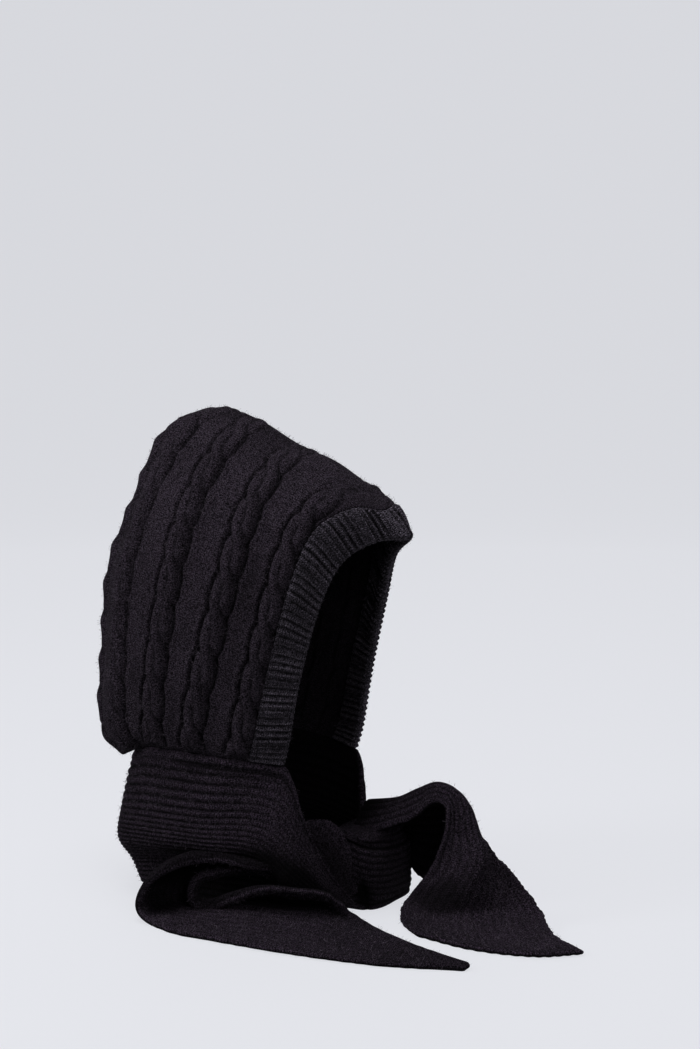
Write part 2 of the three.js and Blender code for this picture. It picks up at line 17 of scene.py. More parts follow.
import bpy
import numpy as np
from bpy.types import Material, Mesh, Node, NodeSocket, NodeTree, Object
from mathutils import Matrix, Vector

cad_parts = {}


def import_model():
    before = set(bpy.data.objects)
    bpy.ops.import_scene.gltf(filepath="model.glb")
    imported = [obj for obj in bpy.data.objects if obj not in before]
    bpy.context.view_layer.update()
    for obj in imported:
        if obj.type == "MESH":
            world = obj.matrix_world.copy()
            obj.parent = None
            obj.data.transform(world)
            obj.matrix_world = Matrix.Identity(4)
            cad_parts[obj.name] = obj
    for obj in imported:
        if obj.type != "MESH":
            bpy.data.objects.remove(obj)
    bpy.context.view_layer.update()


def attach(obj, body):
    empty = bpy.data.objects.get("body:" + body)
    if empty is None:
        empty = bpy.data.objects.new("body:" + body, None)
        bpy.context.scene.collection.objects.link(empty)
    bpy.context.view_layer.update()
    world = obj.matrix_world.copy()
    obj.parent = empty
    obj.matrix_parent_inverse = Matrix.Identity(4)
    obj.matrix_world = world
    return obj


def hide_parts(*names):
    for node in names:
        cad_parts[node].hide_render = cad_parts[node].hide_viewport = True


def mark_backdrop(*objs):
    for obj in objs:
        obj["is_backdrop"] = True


log = logging.getLogger("snood_hood")

METRES = 0.001
TO_ROW_FRAME = np.array([37.479, 112.02, 0.0])  # from the design frame, in millimetres

# The driving sizes of the part, in millimetres.
HOOD_HALF_WIDTH = 101.0
HOOD_DEPTH = 300.0
HOOD_HEIGHT = 326.0
NECK_RISE = 136.0
FACE_TURN = 0.3  # how much further forward the left half of the face edge stands,
FACE_TURN_FROM = 0.36  # from this share of the depth in front of the neck
PANEL_FLAT_WIDTH = 290.0
FACE_BAND_WIDTH = 35.0
SCARF_DROP = 8.0  # how much lower the scarf hangs at the left front corner, per 100 of width
SEAM_GAP = 0.2
SCARF_RIB_PITCH = 5.9
KNOT_SIZE = (90.0, 60.0, 72.0)  # width, depth and height, as in the next three
LOOP_SIZE = (90.0, -90.0, 72.0)
RIGHT_TIE_SIZE = (-200.0, -300.0, 60.0)
LEFT_TIE_SIZE = (-100.0, -370.0, 120.0)
BAND_SHARE = 1 - FACE_BAND_WIDTH / PANEL_FLAT_WIDTH
FLOOR_CLEARANCE = 0.0002  # in metres


class Seam(NamedTuple):
    """A place on the hood's neck edge: left (1) or right (-1), and its share from back to face."""

    side: int
    share: float


# Each net has a row of points for each section, named above it, as shares of the sizes above. The
# hood's knots say where each of its sections lies, from the back seam to the face edge.
HOOD_KNOTS = (0, 0.1, 0.24, 0.41, 0.52, 0.64, 0.78, 0.88, 1)
# neck, nape, waist, temple, shoulder, eave, ridge
HOOD_SECTIONS = (
    (
        (0, 0.395, -0.032), (0, 0.48, 0.04), (0, 0.487, 0.258), (0, 0.462, 0.534), (0, 0.365, 0.755),
        (0, 0.33, 0.895), (0, 0.27, 0.967),
    ),
    (
        (0.245, 0.383, -0.034), (0.28, 0.48, 0.04), (0.289, 0.479, 0.258), (0.282, 0.452, 0.534),
        (0.235, 0.351, 0.761), (0.118, 0.301, 0.909), (0, 0.204, 0.981),
    ),
    (
        (0.564, 0.327, -0.012), (0.682, 0.402, 0.05), (0.684, 0.402, 0.258), (0.625, 0.382, 0.534),
        (0.486, 0.292, 0.777), (0.262, 0.223, 0.949), (0, 0.121, 0.997),
    ),
    (
        (0.785, 0.223, 0.022), (0.904, 0.241, 0.08), (0.936, 0.241, 0.258), (0.88, 0.213, 0.534),
        (0.714, 0.163, 0.772), (0.357, 0.093, 0.943), (0, 0.041, 0.992),
    ),
    (
        (0.867, 0.147, 0.027), (0.955, 0.155, 0.08), (0.985, 0.13, 0.258), (0.927, 0.076, 0.529),
        (0.757, 0.023, 0.753), (0.388, -0.023, 0.902), (0, -0.051, 0.957),
    ),
    (
        (0.908, 0.043, 0.027), (0.972, 0.049, 0.08), (0.99, 0.008, 0.258), (0.92, -0.065, 0.526),
        (0.757, -0.116, 0.732), (0.4, -0.15, 0.856), (0, -0.163, 0.896),
    ),
    (
        (0.899, -0.08, 0.022), (0.938, -0.087, 0.08), (0.925, -0.137, 0.258), (0.863, -0.2, 0.523),
        (0.711, -0.251, 0.701), (0.39, -0.281, 0.807), (0, -0.316, 0.841),
    ),
    (
        (0.849, -0.155, 0.016), (0.87, -0.18, 0.08), (0.867, -0.224, 0.261), (0.83, -0.3, 0.522),
        (0.665, -0.356, 0.675), (0.366, -0.431, 0.733), (0, -0.475, 0.72),
    ),
    (
        (0.72, -0.257, 0.004), (0.73, -0.28, 0.08), (0.72, -0.315, 0.25), (0.65, -0.373, 0.457),
        (0.48, -0.42, 0.58), (0.25, -0.49, 0.635), (0, -0.555, 0.645),
    ),
)
# top or seam, bulge, hem, tuck, foot
SCARF_SECTIONS = (
    (
        (0.32, -0.352, 0.56), (0.34, -0.355, 0.43), (0.34, -0.355, 0.28), (0.33, -0.352, 0.13),
        (0.32, -0.35, 0),
    ),
    (
        (0.6, -0.3, 0.57), (0.62, -0.302, 0.43), (0.62, -0.302, 0.28), (0.61, -0.3, 0.13),
        (0.6, -0.298, 0),
    ),
    (Seam(1, 1), (0.8, -0.26, 0.44), (0.84, -0.25, 0.26), (0.8, -0.245, 0.11), (0.82, -0.24, 0)),
    (Seam(1, 0.6), (1.02, 0.01, 0.5), (1.06, 0.01, 0.3), (0.96, 0.007, 0.13), (1, 0.007, 0)),
    (Seam(1, 0.25), (0.7, 0.337, 0.56), (0.72, 0.34, 0.33), (0.62, 0.31, 0.14), (0.66, 0.317, 0)),
    (Seam(1, 0), (0, 0.423, 0.58), (0, 0.423, 0.34), (0, 0.373, 0.15), (0, 0.38, 0)),
    (Seam(-1, 0.25), (-0.71, 0.338, 0.6), (-0.76, 0.343, 0.38), (-0.62, 0.322, 0.2), (-0.6, 0.28, 0)),
    (
        Seam(-1, 0.42), (-0.92, 0.203, 0.64), (-0.98, 0.203, 0.42), (-0.74, 0.157, 0.26),
        (-0.72, 0.16, 0),
    ),
    (Seam(-1, 0.7), (-1.03, -0.03, 0.66), (-1.09, -0.04, 0.45), (-0.78, -0.04, 0.3), (-0.74, -0.03, 0)),
    (Seam(-1, 1), (-0.92, -0.237, 0.66), (-1, -0.217, 0.42), (-0.76, -0.2, 0.28), (-0.68, -0.197, 0)),
    (
        (-0.73, -0.333, 0.66), (-0.85, -0.333, 0.44), (-0.92, -0.31, 0.25), (-0.78, -0.28, 0.16),
        (-0.66, -0.257, 0),
    ),
    (
        (-0.62, -0.383, 0.34), (-0.68, -0.387, 0.22), (-0.74, -0.367, 0.13), (-0.7, -0.333, 0.1),
        (-0.62, -0.303, 0),
    ),
    (
        (-0.4, -0.45, 0.05), (-0.44, -0.437, 0.04), (-0.49, -0.417, 0.03), (-0.53, -0.39, 0.02),
        (-0.56, -0.363, 0),
    ),
)
# up, out, front, wide, deep
KNOT_RINGS = (
    (0, 0.08, 2.1, 0.5, 0.46),
    (0.06, 0.08, 2.1, 0.53, 0.51),
    (0.35, 0.08, 2.1, 0.54, 0.5),
    (0.65, 0.08, 2.1, 0.53, 0.49),
    (0.8, 0.08, 2.08, 0.49, 0.43),
    (0.85, 0.08, 2.08, 0.45, 0.38),
    (0.92, 0.08, 2.07, 0.48, 0.42),
    (1, 0.08, 2.05, 0.42, 0.34),
)
# rim, middle, root
LOOP_SECTIONS = (
    ((-0.511, 0.963, 1.102), (-0.578, 0.964, 1.089), (-0.644, 0.957, 1.075)),
    ((-0.489, 1.077, 1.162), (-0.556, 1.047, 1.039), (-0.622, 1.017, 0.929)),
    ((-0.467, 1.203, 1.149), (-0.533, 1.143, 0.954), (-0.6, 1.087, 0.778)),
    ((-0.444, 1.316, 1.048), (-0.5, 1.221, 0.832), (-0.556, 1.135, 0.633)),
    ((-0.422, 1.381, 0.912), (-0.467, 1.286, 0.708), (-0.522, 1.191, 0.492)),
    ((-0.4, 1.422, 0.741), (-0.444, 1.343, 0.555), (-0.489, 1.256, 0.337)),
    ((-0.378, 1.459, 0.491), (-0.411, 1.394, 0.367), (-0.456, 1.321, 0.197)),
    ((-0.356, 1.481, 0.239), (-0.389, 1.438, 0.18), (-0.422, 1.387, 0.057)),
)
# outer, crest, middle, inner
RIGHT_TIE_SECTIONS = (
    ((0.36, 0.373, 0.667), (0.29, 0.373, 0.733), (0.22, 0.367, 0.6), (0.15, 0.353, 0.433)),
    ((0.54, 0.207, 0.833), (0.46, 0.2, 0.867), (0.4, 0.207, 0.633), (0.38, 0.213, 0.6)),
    ((0.56, 0.1, 0.91), (0.47, 0.087, 0.89), (0.42, 0.093, 0.6), (0.49, 0.127, 0.66)),
    ((0.64, 0.02, 0.87), (0.52, -0.007, 0.86), (0.46, 0.013, 0.567), (0.54, 0.073, 0.6)),
    ((0.75, -0.027, 0.75), (0.6, -0.067, 0.71), (0.49, -0.02, 0.467), (0.58, 0.04, 0.55)),
    ((0.82, -0.06, 0.533), (0.66, -0.1, 0.467), (0.52, -0.033, 0.333), (0.61, 0.033, 0.4)),
    ((0.815, -0.083, 0.217), (0.69, -0.097, 0.133), (0.54, -0.027, 0.133), (0.61, 0.04, 0.217)),
    ((0.84, -0.033, 0.058), (0.72, -0.02, 0.05), (0.52, 0.027, 0.1), (0.59, 0.087, 0.19)),
    ((0.91, 0.083, 0.05), (0.74, 0.09, 0.05), (0.47, 0.1, 0.133), (0.59, 0.16, 0.36)),
    ((0.925, 0.217, 0.05), (0.72, 0.22, 0.05), (0.45, 0.2, 0.2), (0.57, 0.257, 0.56)),
    ((0.935, 0.367, 0.05), (0.7, 0.353, 0.05), (0.44, 0.313, 0.2), (0.56, 0.373, 0.6)),
    ((0.935, 0.517, 0.05), (0.69, 0.493, 0.05), (0.41, 0.42, 0.2), (0.51, 0.473, 0.53)),
    ((0.92, 0.65, 0.05), (0.74, 0.62, 0.05), (0.54, 0.58, 0.058), (0.42, 0.553, 0.1)),
    ((0.88, 0.8, 0.05), (0.78, 0.787, 0.05), (0.67, 0.77, 0.05), (0.58, 0.76, 0.05)),
    ((0.775, 1, 0.05), (0.76, 1, 0.05), (0.745, 1, 0.05), (0.73, 1, 0.05)),
)
# near, crest, flank, hem
LEFT_TIE_SECTIONS = (
    ((0.08, 0.304, 0.51), (-0.2, 0.31, 0.729), (-0.48, 0.292, 0.523), (-0.52, 0.319, 0.329)),
    ((0.12, 0.407, 0.623), (-0.14, 0.412, 0.801), (-0.46, 0.379, 0.538), (-0.5, 0.363, 0.247)),
    ((0.14, 0.485, 0.725), (-0.08, 0.48, 0.904), (-0.4, 0.438, 0.57), (-0.46, 0.405, 0.191)),
    ((0.14, 0.539, 0.866), (-0.04, 0.534, 0.969), (-0.32, 0.504, 0.609), (-0.4, 0.459, 0.13)),
    ((0.18, 0.583, 0.86), (0, 0.585, 0.948), (-0.24, 0.565, 0.688), (-0.34, 0.528, 0.284)),
    ((0.2, 0.586, 0.719), (0.04, 0.621, 0.856), (-0.16, 0.612, 0.648), (-0.26, 0.587, 0.451)),
    ((0.18, 0.569, 0.543), (0.12, 0.649, 0.686), (-0.06, 0.642, 0.608), (-0.14, 0.641, 0.551)),
    ((0.1, 0.525, 0.314), (0.24, 0.683, 0.514), (0, 0.678, 0.438), (-0.06, 0.695, 0.467)),
    ((0.06, 0.475, 0.116), (0.3, 0.653, 0.266), (0.08, 0.713, 0.245), (0, 0.76, 0.331)),
    ((0.342, 0.485, 0.067), (0.332, 0.619, 0.058), (0.186, 0.735, 0.083), (0.034, 0.826, 0.117)),
    ((0.597, 0.52, 0.025), (0.768, 0.684, 0.025), (0.538, 0.801, 0.025), (0.367, 0.895, 0.042)),
    ((0.859, 0.591, 0.025), (1.003, 0.76, 0.025), (0.936, 0.911, 0.025), (0.667, 1.005, 0.025)),
)


class Slot(Enum):
    """The record's material slots."""

    CABLE = "cable_knit"
    RIB = "rib_knit"
    SCARF = "scarf_knit"


class Held(Enum):
    """How a sheet of fabric is held."""

    DRAPED = "draped"
    GATHERED = "gathered"
    FOLDED = "folded"


class Wales(Enum):
    """The UV axis that the columns of stitches run along."""

    ALONG_U = "u"
    ALONG_V = "v"


# ---- Curves, nets and skins ------------------------------------------------------------------------


def smooth(share: np.ndarray) -> np.ndarray:
    """A smooth step from 0 to 1 as share goes from 0 to 1."""
    held = np.clip(share, 0.0, 1.0)
    return held * held * (3 - 2 * held)


def bump(place: np.ndarray, middle: float, reach: float) -> np.ndarray:
    """A soft bump of height 1 that fades to a third at its reach from the middle."""
    return np.exp(-(((place - middle) / reach) ** 2))


def through(points: np.ndarray, knots: np.ndarray, shares: np.ndarray) -> np.ndarray:
    """Smooth curves through points.

    Args:
        points: The points, with one entry of the first axis for each knot.
        knots: Where each entry lies along the curve, rising.
        shares: Where the curve is wanted.

    Returns:
        One entry of the first axis for each share.
    """
    last = len(knots) - 1
    i = np.clip(np.searchsorted(knots, shares, side="left") - 1, 0, last - 1)
    wide = (-1,) + (1,) * (points.ndim - 1)
    span = (knots[i + 1] - knots[i]).reshape(wide)
    t = ((shares - knots[i]) / (knots[i + 1] - knots[i])).reshape(wide)

    def slope(j: np.ndarray) -> np.ndarray:
        """The curve's slope at knot j, from its neighbours."""
        a, b = np.maximum(j - 1, 0), np.minimum(j + 1, last)
        return (points[b] - points[a]) / (knots[b] - knots[a]).reshape(wide)

    t2, t3 = t * t, t * t * t
    return (
        (2 * t3 - 3 * t2 + 1) * points[i]
        + (t3 - 2 * t2 + t) * span * slope(i)
        + (3 * t2 - 2 * t3) * points[i + 1]
        + (t3 - t2) * span * slope(i + 1)
    )


@dataclass
class Net:
    """A smooth surface through rows of points.

    Attributes:
        rows: Points, as rows by columns by 3.
        knots: Where each row lies along the surface.
    """

    rows: np.ndarray
    knots: np.ndarray

    @classmethod
    def spaced(cls, rows: np.ndarray) -> "Net":
        """A net whose rows are spaced by the distances between them."""
        steps = np.linalg.norm(np.diff(rows, axis=0), axis=2).sum(axis=1)
        knots = np.concatenate([[0.0], np.cumsum(steps)])
        return cls(rows, knots / knots[-1])

    def at(self, alongs: np.ndarray, acrosses: np.ndarray) -> np.ndarray:
        """The grid of points at these shares along and across, as alongs by acrosses by 3."""
        rows = through(self.rows, self.knots, alongs)
        columns = np.linspace(0.0, 1.0, self.rows.shape[1])
        return np.swapaxes(through(np.swapaxes(rows, 0, 1), columns, acrosses), 0, 1)


def grid_normals(points: np.ndarray) -> np.ndarray:
    """Unit normals of a grid of points, along its rows crossed with across them."""
    n = np.cross(np.gradient(points, axis=0), np.gradient(points, axis=1))
    return n / np.maximum(np.linalg.norm(n, axis=2, keepdims=True), 1e-9)


def eased_ends(count: int, ends: tuple[float, float], near: float) -> np.ndarray:
    """Evenly spread shares, with three close together at each end so that a rim can be round.

    Args:
        count: How many shares there are in all, or one fewer where that is even.
        ends: The first and the last share.
        near: The share over which the rim rounds off.

    Returns:
        An odd number of rising shares.
    """
    low, high = ends
    rim = near * np.array([0.0, 0.12, 0.45])
    body = np.linspace(low + near, high - near, count - 6 + (count % 2 == 0))
    return np.concatenate([low + rim, body, high - rim[::-1]])


def rim_share(distance: np.ndarray, radius: float) -> np.ndarray:
    """How thick a sheet is at a distance from its free edge, as a share of its full wall."""
    inside = np.clip(1 - distance / radius, 0.0, 1.0)
    return np.sqrt(np.maximum(1 - inside * inside, 0.0)) * 0.94 + 0.06


@dataclass
class Skins:
    """The two skins of a sheet of fabric over one grid, in millimetres.

    Attributes:
        outer: Points of the skin on the side that the grid's normals point to.
        inner: Points of the other skin, over the same grid.
        flat: Each point's place on the flat fabric, in millimetres.
        coarse: Only every so many rows and columns of the inner skin are used.
        seamed: Whether the first row is sewn to itself, half to half.
        lift: How far each grid point takes part in the relief that is added later, and how much shade
        is painted in its rib valleys or cable gutters, 0 to 1.
        painted_shade: How much shade is painted on the outer and the inner skin, 0 to 1.
    """

    outer: np.ndarray
    inner: np.ndarray
    flat: np.ndarray
    coarse: int = 1
    seamed: bool = False
    lift: np.ndarray | float = 1.0
    painted_shade: tuple[np.ndarray | float, np.ndarray | float] = (0.0, 0.72)

    def mesh(self, name: str) -> Object:
        """The closed mesh of both skins, joined round the edges."""
        rows, columns = self.outer.shape[:2]
        step = self.coarse
        ids = np.arange(rows * columns).reshape(rows, columns)
        under = ids + rows * columns
        faces: list[np.ndarray] = []

        def quads(grid: np.ndarray, flip: bool) -> None:
            """Adds the faces between neighbouring entries of a grid of ids."""
            a, b = grid[:-1, :-1].ravel(), grid[1:, :-1].ravel()
            c, d = grid[1:, 1:].ravel(), grid[:-1, 1:].ravel()
            faces.append(np.stack([d, c, b, a] if flip else [a, b, c, d], axis=1))

        def strip(top: np.ndarray, low: np.ndarray) -> None:
            """Joins an edge of the outer skin to the same edge of the inner one."""
            low = low[::step]
            runs = [top[k : len(top) - step + k : step] for k in range(step, -1, -1)]
            faces.append(np.stack([low[:-1], low[1:], *runs], axis=1))

        quads(ids, False)
        quads(under[::step, ::step], True)
        strip(ids[:, 0], under[:, 0])
        strip(ids[::-1, -1], under[::-1, -1])
        strip(ids[-1, :], under[-1, :])
        if not self.seamed:
            strip(ids[0, ::-1], under[0, ::-1])
        points = np.concatenate([self.outer.reshape(-1, 3), self.inner.reshape(-1, 3)])
        same = np.arange(len(points))
        if self.seamed:
            half = (columns - 1) // 2
            for row in (ids[0], under[0]):
                same[row[half + 1 :]] = row[:half][::-1]
        flat = np.concatenate([self.flat.reshape(-1, 2)] * 2)
        grid = (rows, columns)
        traits = {
            "lift": np.concatenate([np.broadcast_to(self.lift, grid).ravel()] * 2),
            "painted_shade": np.concatenate([np.broadcast_to(dark, grid).ravel() for dark in self.painted_shade]),
        }
        return mesh_of(name, points, faces, same, flat, traits)


def mesh_of(
    name: str,
    points: np.ndarray,
    faces: Sequence[np.ndarray],
    same: np.ndarray,
    flat: np.ndarray,
    traits: dict[str, np.ndarray],
) -> Object:
    """A mesh object in the row frame.

    Args:
        name: The object's name.
        points: Points in the design frame, in millimetres.
        faces: Arrays of faces, each with one row of point numbers a face.
        same: The point that stands for each point, where some are merged.
        flat: Each point's place on the flat fabric, in millimetres.
        traits: Values of each point by name, kept as attributes.

    Returns:
        The linked object, with a UV map in metres and the attributes.
    """
    corners, starts, at = [], [], 0
    for group in faces:
        merged = same[group]
        kept = group[(merged != np.roll(merged, 1, axis=1)).all(axis=1)]
        corners.append(kept.ravel())
        starts.append(at + np.arange(len(kept)) * group.shape[1])
        at += kept.size
    loops = np.concatenate(corners)
    used, renumbered = np.unique(same[loops], return_inverse=True)
    mesh = bpy.data.meshes.new(name)
    mesh.vertices.add(len(used))
    mesh.vertices.foreach_set("co", ((points[used] + TO_ROW_FRAME) * METRES).ravel())
    mesh.loops.add(len(loops))
    mesh.loops.foreach_set("vertex_index", renumbered.ravel().astype(np.int32))
    first = np.concatenate(starts).astype(np.int32)
    mesh.polygons.add(len(first))
    mesh.polygons.foreach_set("loop_start", first)
    mesh.update(calc_edges=True)
    layer = mesh.uv_layers.new(name="flat_fabric")
    layer.data.foreach_set("uv", (flat[loops] * METRES).ravel())
    for label, values in {"flat_v": flat[:, 1], **traits}.items():
        mesh.attributes.new(label, "FLOAT", "POINT").data.foreach_set("value", values[used])
    mesh.shade_smooth()
    mesh.validate()
    piece = bpy.data.objects.new(name, mesh)
    bpy.context.scene.collection.objects.link(piece)
    return piece


def frayed(points: np.ndarray, run: np.ndarray, edge: np.ndarray) -> np.ndarray:
    """A grid whose free edges waver, as a knitted edge does.

    Args:
        points: The grid, whose columns run from one free edge to the other.
        run: Millimetres along the edge, at each row.
        edge: Millimetres from the nearer edge, at each point.

    Returns:
        The grid with small bumps of single stitches and slower waves on both edges.
    """
    out = np.gradient(points, axis=1)
    out /= np.maximum(np.linalg.norm(out, axis=2, keepdims=True), 1e-9)
    side = np.where(np.arange(points.shape[1]) < points.shape[1] / 2, -1.0, 1.0)[None, :]
    stitch = np.sin(run * 1.9 + 3 * np.sin(run / 13))
    wave = np.sin(run / 3.7 + 2 * np.sin(run / 9))
    return points + out * (side * (0.45 * stitch + 0.65 * wave) * np.exp(-edge / 2.5))[..., None]


def run_along(points: np.ndarray, axis: int) -> np.ndarray:
    """How far each grid point lies from the first one along an axis of the grid."""
    steps = np.linalg.norm(np.diff(points, axis=axis), axis=2)
    far = np.cumsum(steps, axis=axis)
    pad = [(1, 0), (0, 0)] if axis == 0 else [(0, 0), (1, 0)]
    return np.pad(far, pad)


# ---- Node trees ------------------------------------------------------------------------------------


def node(tree: NodeTree, kind: str, settings: dict | None = None, **links: object) -> Node:
    """Adds a node with its settings and links.

    Args:
        tree: The node tree.
        kind: The node's type.
        settings: Properties of the node.
        links: Inputs by name, with _ for a space, or by place as i0, i1 and so on. A socket or a
            node is linked, and anything else is the input's value.

    Returns:
        The node.
    """
    made = tree.nodes.new(kind)
    for key, value in (settings or {}).items():
        setattr(made, key, value)
    for key, value in links.items():
        if key[0] == "i" and key[1:].isdigit():
            socket = made.inputs[int(key[1:])]
        else:
            socket = made.inputs[key.replace("_", " ")]
        if isinstance(value, Node):
            value = next(s for s in value.outputs if s.enabled)
        if isinstance(value, NodeSocket):
            tree.links.new(value, socket)
        else:
            socket.default_value = value
    return made


def maths(tree: NodeTree, operation: str, *values: object) -> NodeSocket:
    """A Math node of either kind of tree, as its output."""
    inputs = {f"i{k}": value for k, value in enumerate(values)}
    return node(tree, "ShaderNodeMath", {"operation": operation}, **inputs).outputs[0]


def linear(colour: str) -> tuple[float, float, float, float]:
    """An sRGB hex colour as linear values."""
    parts = [int(colour[k : k + 2], 16) / 255 for k in (1, 3, 5)]
    r, g, b = (c / 12.92 if c <= 0.04045 else ((c + 0.055) / 1.055) ** 2.4 for c in parts)
    return (r, g, b, 1.0)


@dataclass(frozen=True)
class KnittedWool:
    """Knitted black wool yarn: soft, matt and hairy, with paler fibres on top of dark valleys.

    Attributes:
        name: The material's name.
        yarn: The colour of the stitches' tops.
        valley: The colour of the shade painted between the stitches, between the ribs and in the
            gutters.
        fibre: The colour of the loose fibres on the surface.
        wales: The UV axis that the columns of stitches run along.
        rib: The pitch of the ribs in millimetres, or 0 where there are none.
        valley_width: The greater, the narrower the dark line between two ribs.
        wale: The width of a column of stitches, in millimetres.
        course: The height of a row of stitches, in millimetres.
        relief: How far the stitches stand up, in millimetres.
        sheen: How much the fibres glow at a grazing angle.
    """

    name: str
    yarn: str
    valley: str
    fibre: str
    wales: Wales
    rib: float = 0.0
    valley_width: float = 4.0
    wale: float = 2.9
    course: float = 2.3
    relief: float = 1.9
    sheen: float = 0.012

    def build(self) -> Material:
        """The material, on the piece's own UV map and Object coordinates."""
        material = bpy.data.materials.new(self.name)
        material.use_nodes = True
        tree = material.node_tree
        tree.nodes.clear()
        calc = partial(maths, tree)
        out = node(tree, "ShaderNodeOutputMaterial")
        spot = node(tree, "ShaderNodeTexCoord").outputs["Object"]
        uv = node(tree, "ShaderNodeUVMap", {"uv_map": "flat_fabric"}).outputs["UV"]
        stitch = self.stitches(tree, uv, spot)
        hair = self.flecks(tree, spot, 700.0, (0.5, 0.6))
        lint = self.flecks(tree, spot, 400.0, (0.64, 0.7))
        # Painted shade: the valleys between the stitches are darker than their tops.
        colour = self.mixed(tree, stitch, linear(self.valley), linear(self.yarn))
        # Dye and wear aren't even: soft patches, and yarn that is paler and darker by turns.
        for scale, low, high, depth in ((30.0, 0.85, 1.15, 2.0), (650.0, 0.1, 2.3, 2.0)):
            noise = node(tree, "ShaderNodeTexNoise", Vector=spot, Scale=scale, Detail=depth)
            shade = node(tree, "ShaderNodeMapRange", Value=noise.outputs["Fac"])
            limits = {"From Min": 0.36, "From Max": 0.64, "To Min": low, "To Max": high}
            for label, value in limits.items():
                shade.inputs[label].default_value = value
            colour = self.mixed(tree, 1.0, colour, shade.outputs[0], "MULTIPLY")
        # Pale hairs, painted shade between the ribs and in the gutters, and lint lie over it. Last,
        # shade is painted inside folds and on the wrong side, and nothing pale shows there.
        painted_shade = node(tree, "ShaderNodeAttribute", {"attribute_name": "painted_shade"})
        for share, over in (
            (calc("MULTIPLY", hair, 0.6), self.fibre),
            (self.shadow(tree, uv, spot), self.valley),
            (calc("MULTIPLY", lint, 0.3), "#7a747e"),
            (painted_shade.outputs["Fac"], "#020202"),
        ):
            colour = self.mixed(tree, share, colour, linear(over))
        height = calc("ADD", stitch, calc("MULTIPLY", hair, 0.7))
        high = self.relief * METRES
        raised = node(tree, "ShaderNodeBump", Height=height, Strength=1.0, Distance=high)
        skin = node(tree, "ShaderNodeBsdfPrincipled", Base_Color=colour, Roughness=0.95)
        tree.links.new(raised.outputs["Normal"], skin.inputs["Normal"])
        skin.inputs["Specular IOR Level"].default_value = 0.04
        skin.inputs["Sheen Weight"].default_value = self.sheen
        skin.inputs["Sheen Roughness"].default_value = 0.4
        skin.inputs["Sheen Tint"].default_value = linear("#cfc8d2")
        tree.links.new(skin.outputs[0], out.inputs["Surface"])
        return material

    @staticmethod
    def mixed(
        tree: NodeTree, share: object, first: object, second: object, way: str = "MIX"
    ) -> NodeSocket:
        """Two colours mixed by a share."""
        settings = {"data_type": "RGBA", "blend_type": way}
        return node(tree, "ShaderNodeMix", settings, i0=share, i6=first, i7=second).outputs[2]

    def stitches(self, tree: NodeTree, uv: NodeSocket, spot: NodeSocket) -> NodeSocket:
        """The height of the V stitches, 0 in the valleys to 1 on the yarn."""
        calc = partial(maths, tree)
        # The yarn isn't even, so the grid of stitches wanders by a fraction of a stitch.
        wander = node(tree, "ShaderNodeTexNoise", Vector=spot, Scale=170.0, Detail=1.0)
        drift = calc("MULTIPLY", calc("SUBTRACT", wander.outputs["Fac"], 0.5), 0.9)
        split = node(tree, "ShaderNodeSeparateXYZ", Vector=uv)
        side, way = split.outputs[0], split.outputs[1]
        if self.wales is Wales.ALONG_U:
            side, way = way, side
        # On rib, one column of stitches runs along the top of each rib.
        wale, start = (self.rib / 2, 0.5) if self.rib else (self.wale, 0.0)
        across = calc("MULTIPLY_ADD", side, 1000 / wale, start)
        s = calc("ADD", across, drift)
        t = calc("ADD", calc("MULTIPLY", way, 1000 / self.course), drift)
        # Each leg of the V runs up from the middle of its column to the side.
        off = calc("ABSOLUTE", calc("SUBTRACT", calc("FRACT", s), 0.5))
        leg = calc("ADD", t, calc("MULTIPLY", off, 1.2))
        ply = calc("ABSOLUTE", calc("SINE", calc("MULTIPLY", leg, math.pi)))
        wide = calc("SINE", calc("MULTIPLY", off, 2 * math.pi))
        column = calc("POWER", calc("ABSOLUTE", wide), 0.35)
        return calc("MULTIPLY", ply, column)

    def shadow(self, tree: NodeTree, uv: NodeSocket, spot: NodeSocket) -> NodeSocket:
        """How much shade is painted between the ribs, or in the gutters and creases of the cables."""
        calc = partial(maths, tree)
        lift = node(tree, "ShaderNodeAttribute", {"attribute_name": "lift"}).outputs["Fac"]
        if not self.rib:
            # Painted shade in the cable gutters and the creases between strands.
            return calc("MULTIPLY", calc("POWER", lift, 0.7), 0.88)
        # The valley wanders a little, and stitches bridge it here and there.
        noise = node(tree, "ShaderNodeTexNoise", Vector=spot, Scale=150.0, Detail=3.0)
        drift = calc("MULTIPLY_ADD", noise.outputs["Fac"], 0.8, -0.4)
        split = node(tree, "ShaderNodeSeparateXYZ", Vector=uv)
        turn = calc("MULTIPLY_ADD", split.outputs[1], math.pi * 1000 / self.rib, drift)
        wave = calc("ABSOLUTE", calc("COSINE", turn))
        gaps = calc("MULTIPLY_ADD", noise.outputs["Fac"], 2.6, -0.35)
        gaps = calc("MINIMUM", calc("MAXIMUM", gaps, 0.0), 1.0)
        line = calc("MULTIPLY", calc("POWER", wave, self.valley_width), gaps)
        return calc("MULTIPLY", calc("MULTIPLY", line, lift), 0.9)

    @staticmethod
    def flecks(tree: NodeTree, spot: NodeSocket, scale: float, span: tuple[float, float]) -> NodeSocket:
        """How far loose fibres cover the yarn, in flecks of one size."""
        fleck = node(tree, "ShaderNodeTexNoise", Vector=spot, Scale=scale, Detail=4.0, Roughness=0.7)
        shade = node(tree, "ShaderNodeMapRange", Value=fleck.outputs["Fac"])
        shade.inputs["From Min"].default_value, shade.inputs["From Max"].default_value = span
        return shade.outputs[0]


# Matt black merino in stocking stitch: columns of small V stitches, with the cables' yarn on top.
CABLE_WOOL = KnittedWool("black_merino_cable_knit", "#373039", "#09070b", "#625967", Wales.ALONG_V)
# The same yarn in rib, tighter and a little paler where the ribs stand up to the light.
BAND_WOOL = KnittedWool(
    "black_merino_rib_knit", "#625c67", "#070609", "#827c88", Wales.ALONG_U, rib=6.8, valley_width=5.5
)
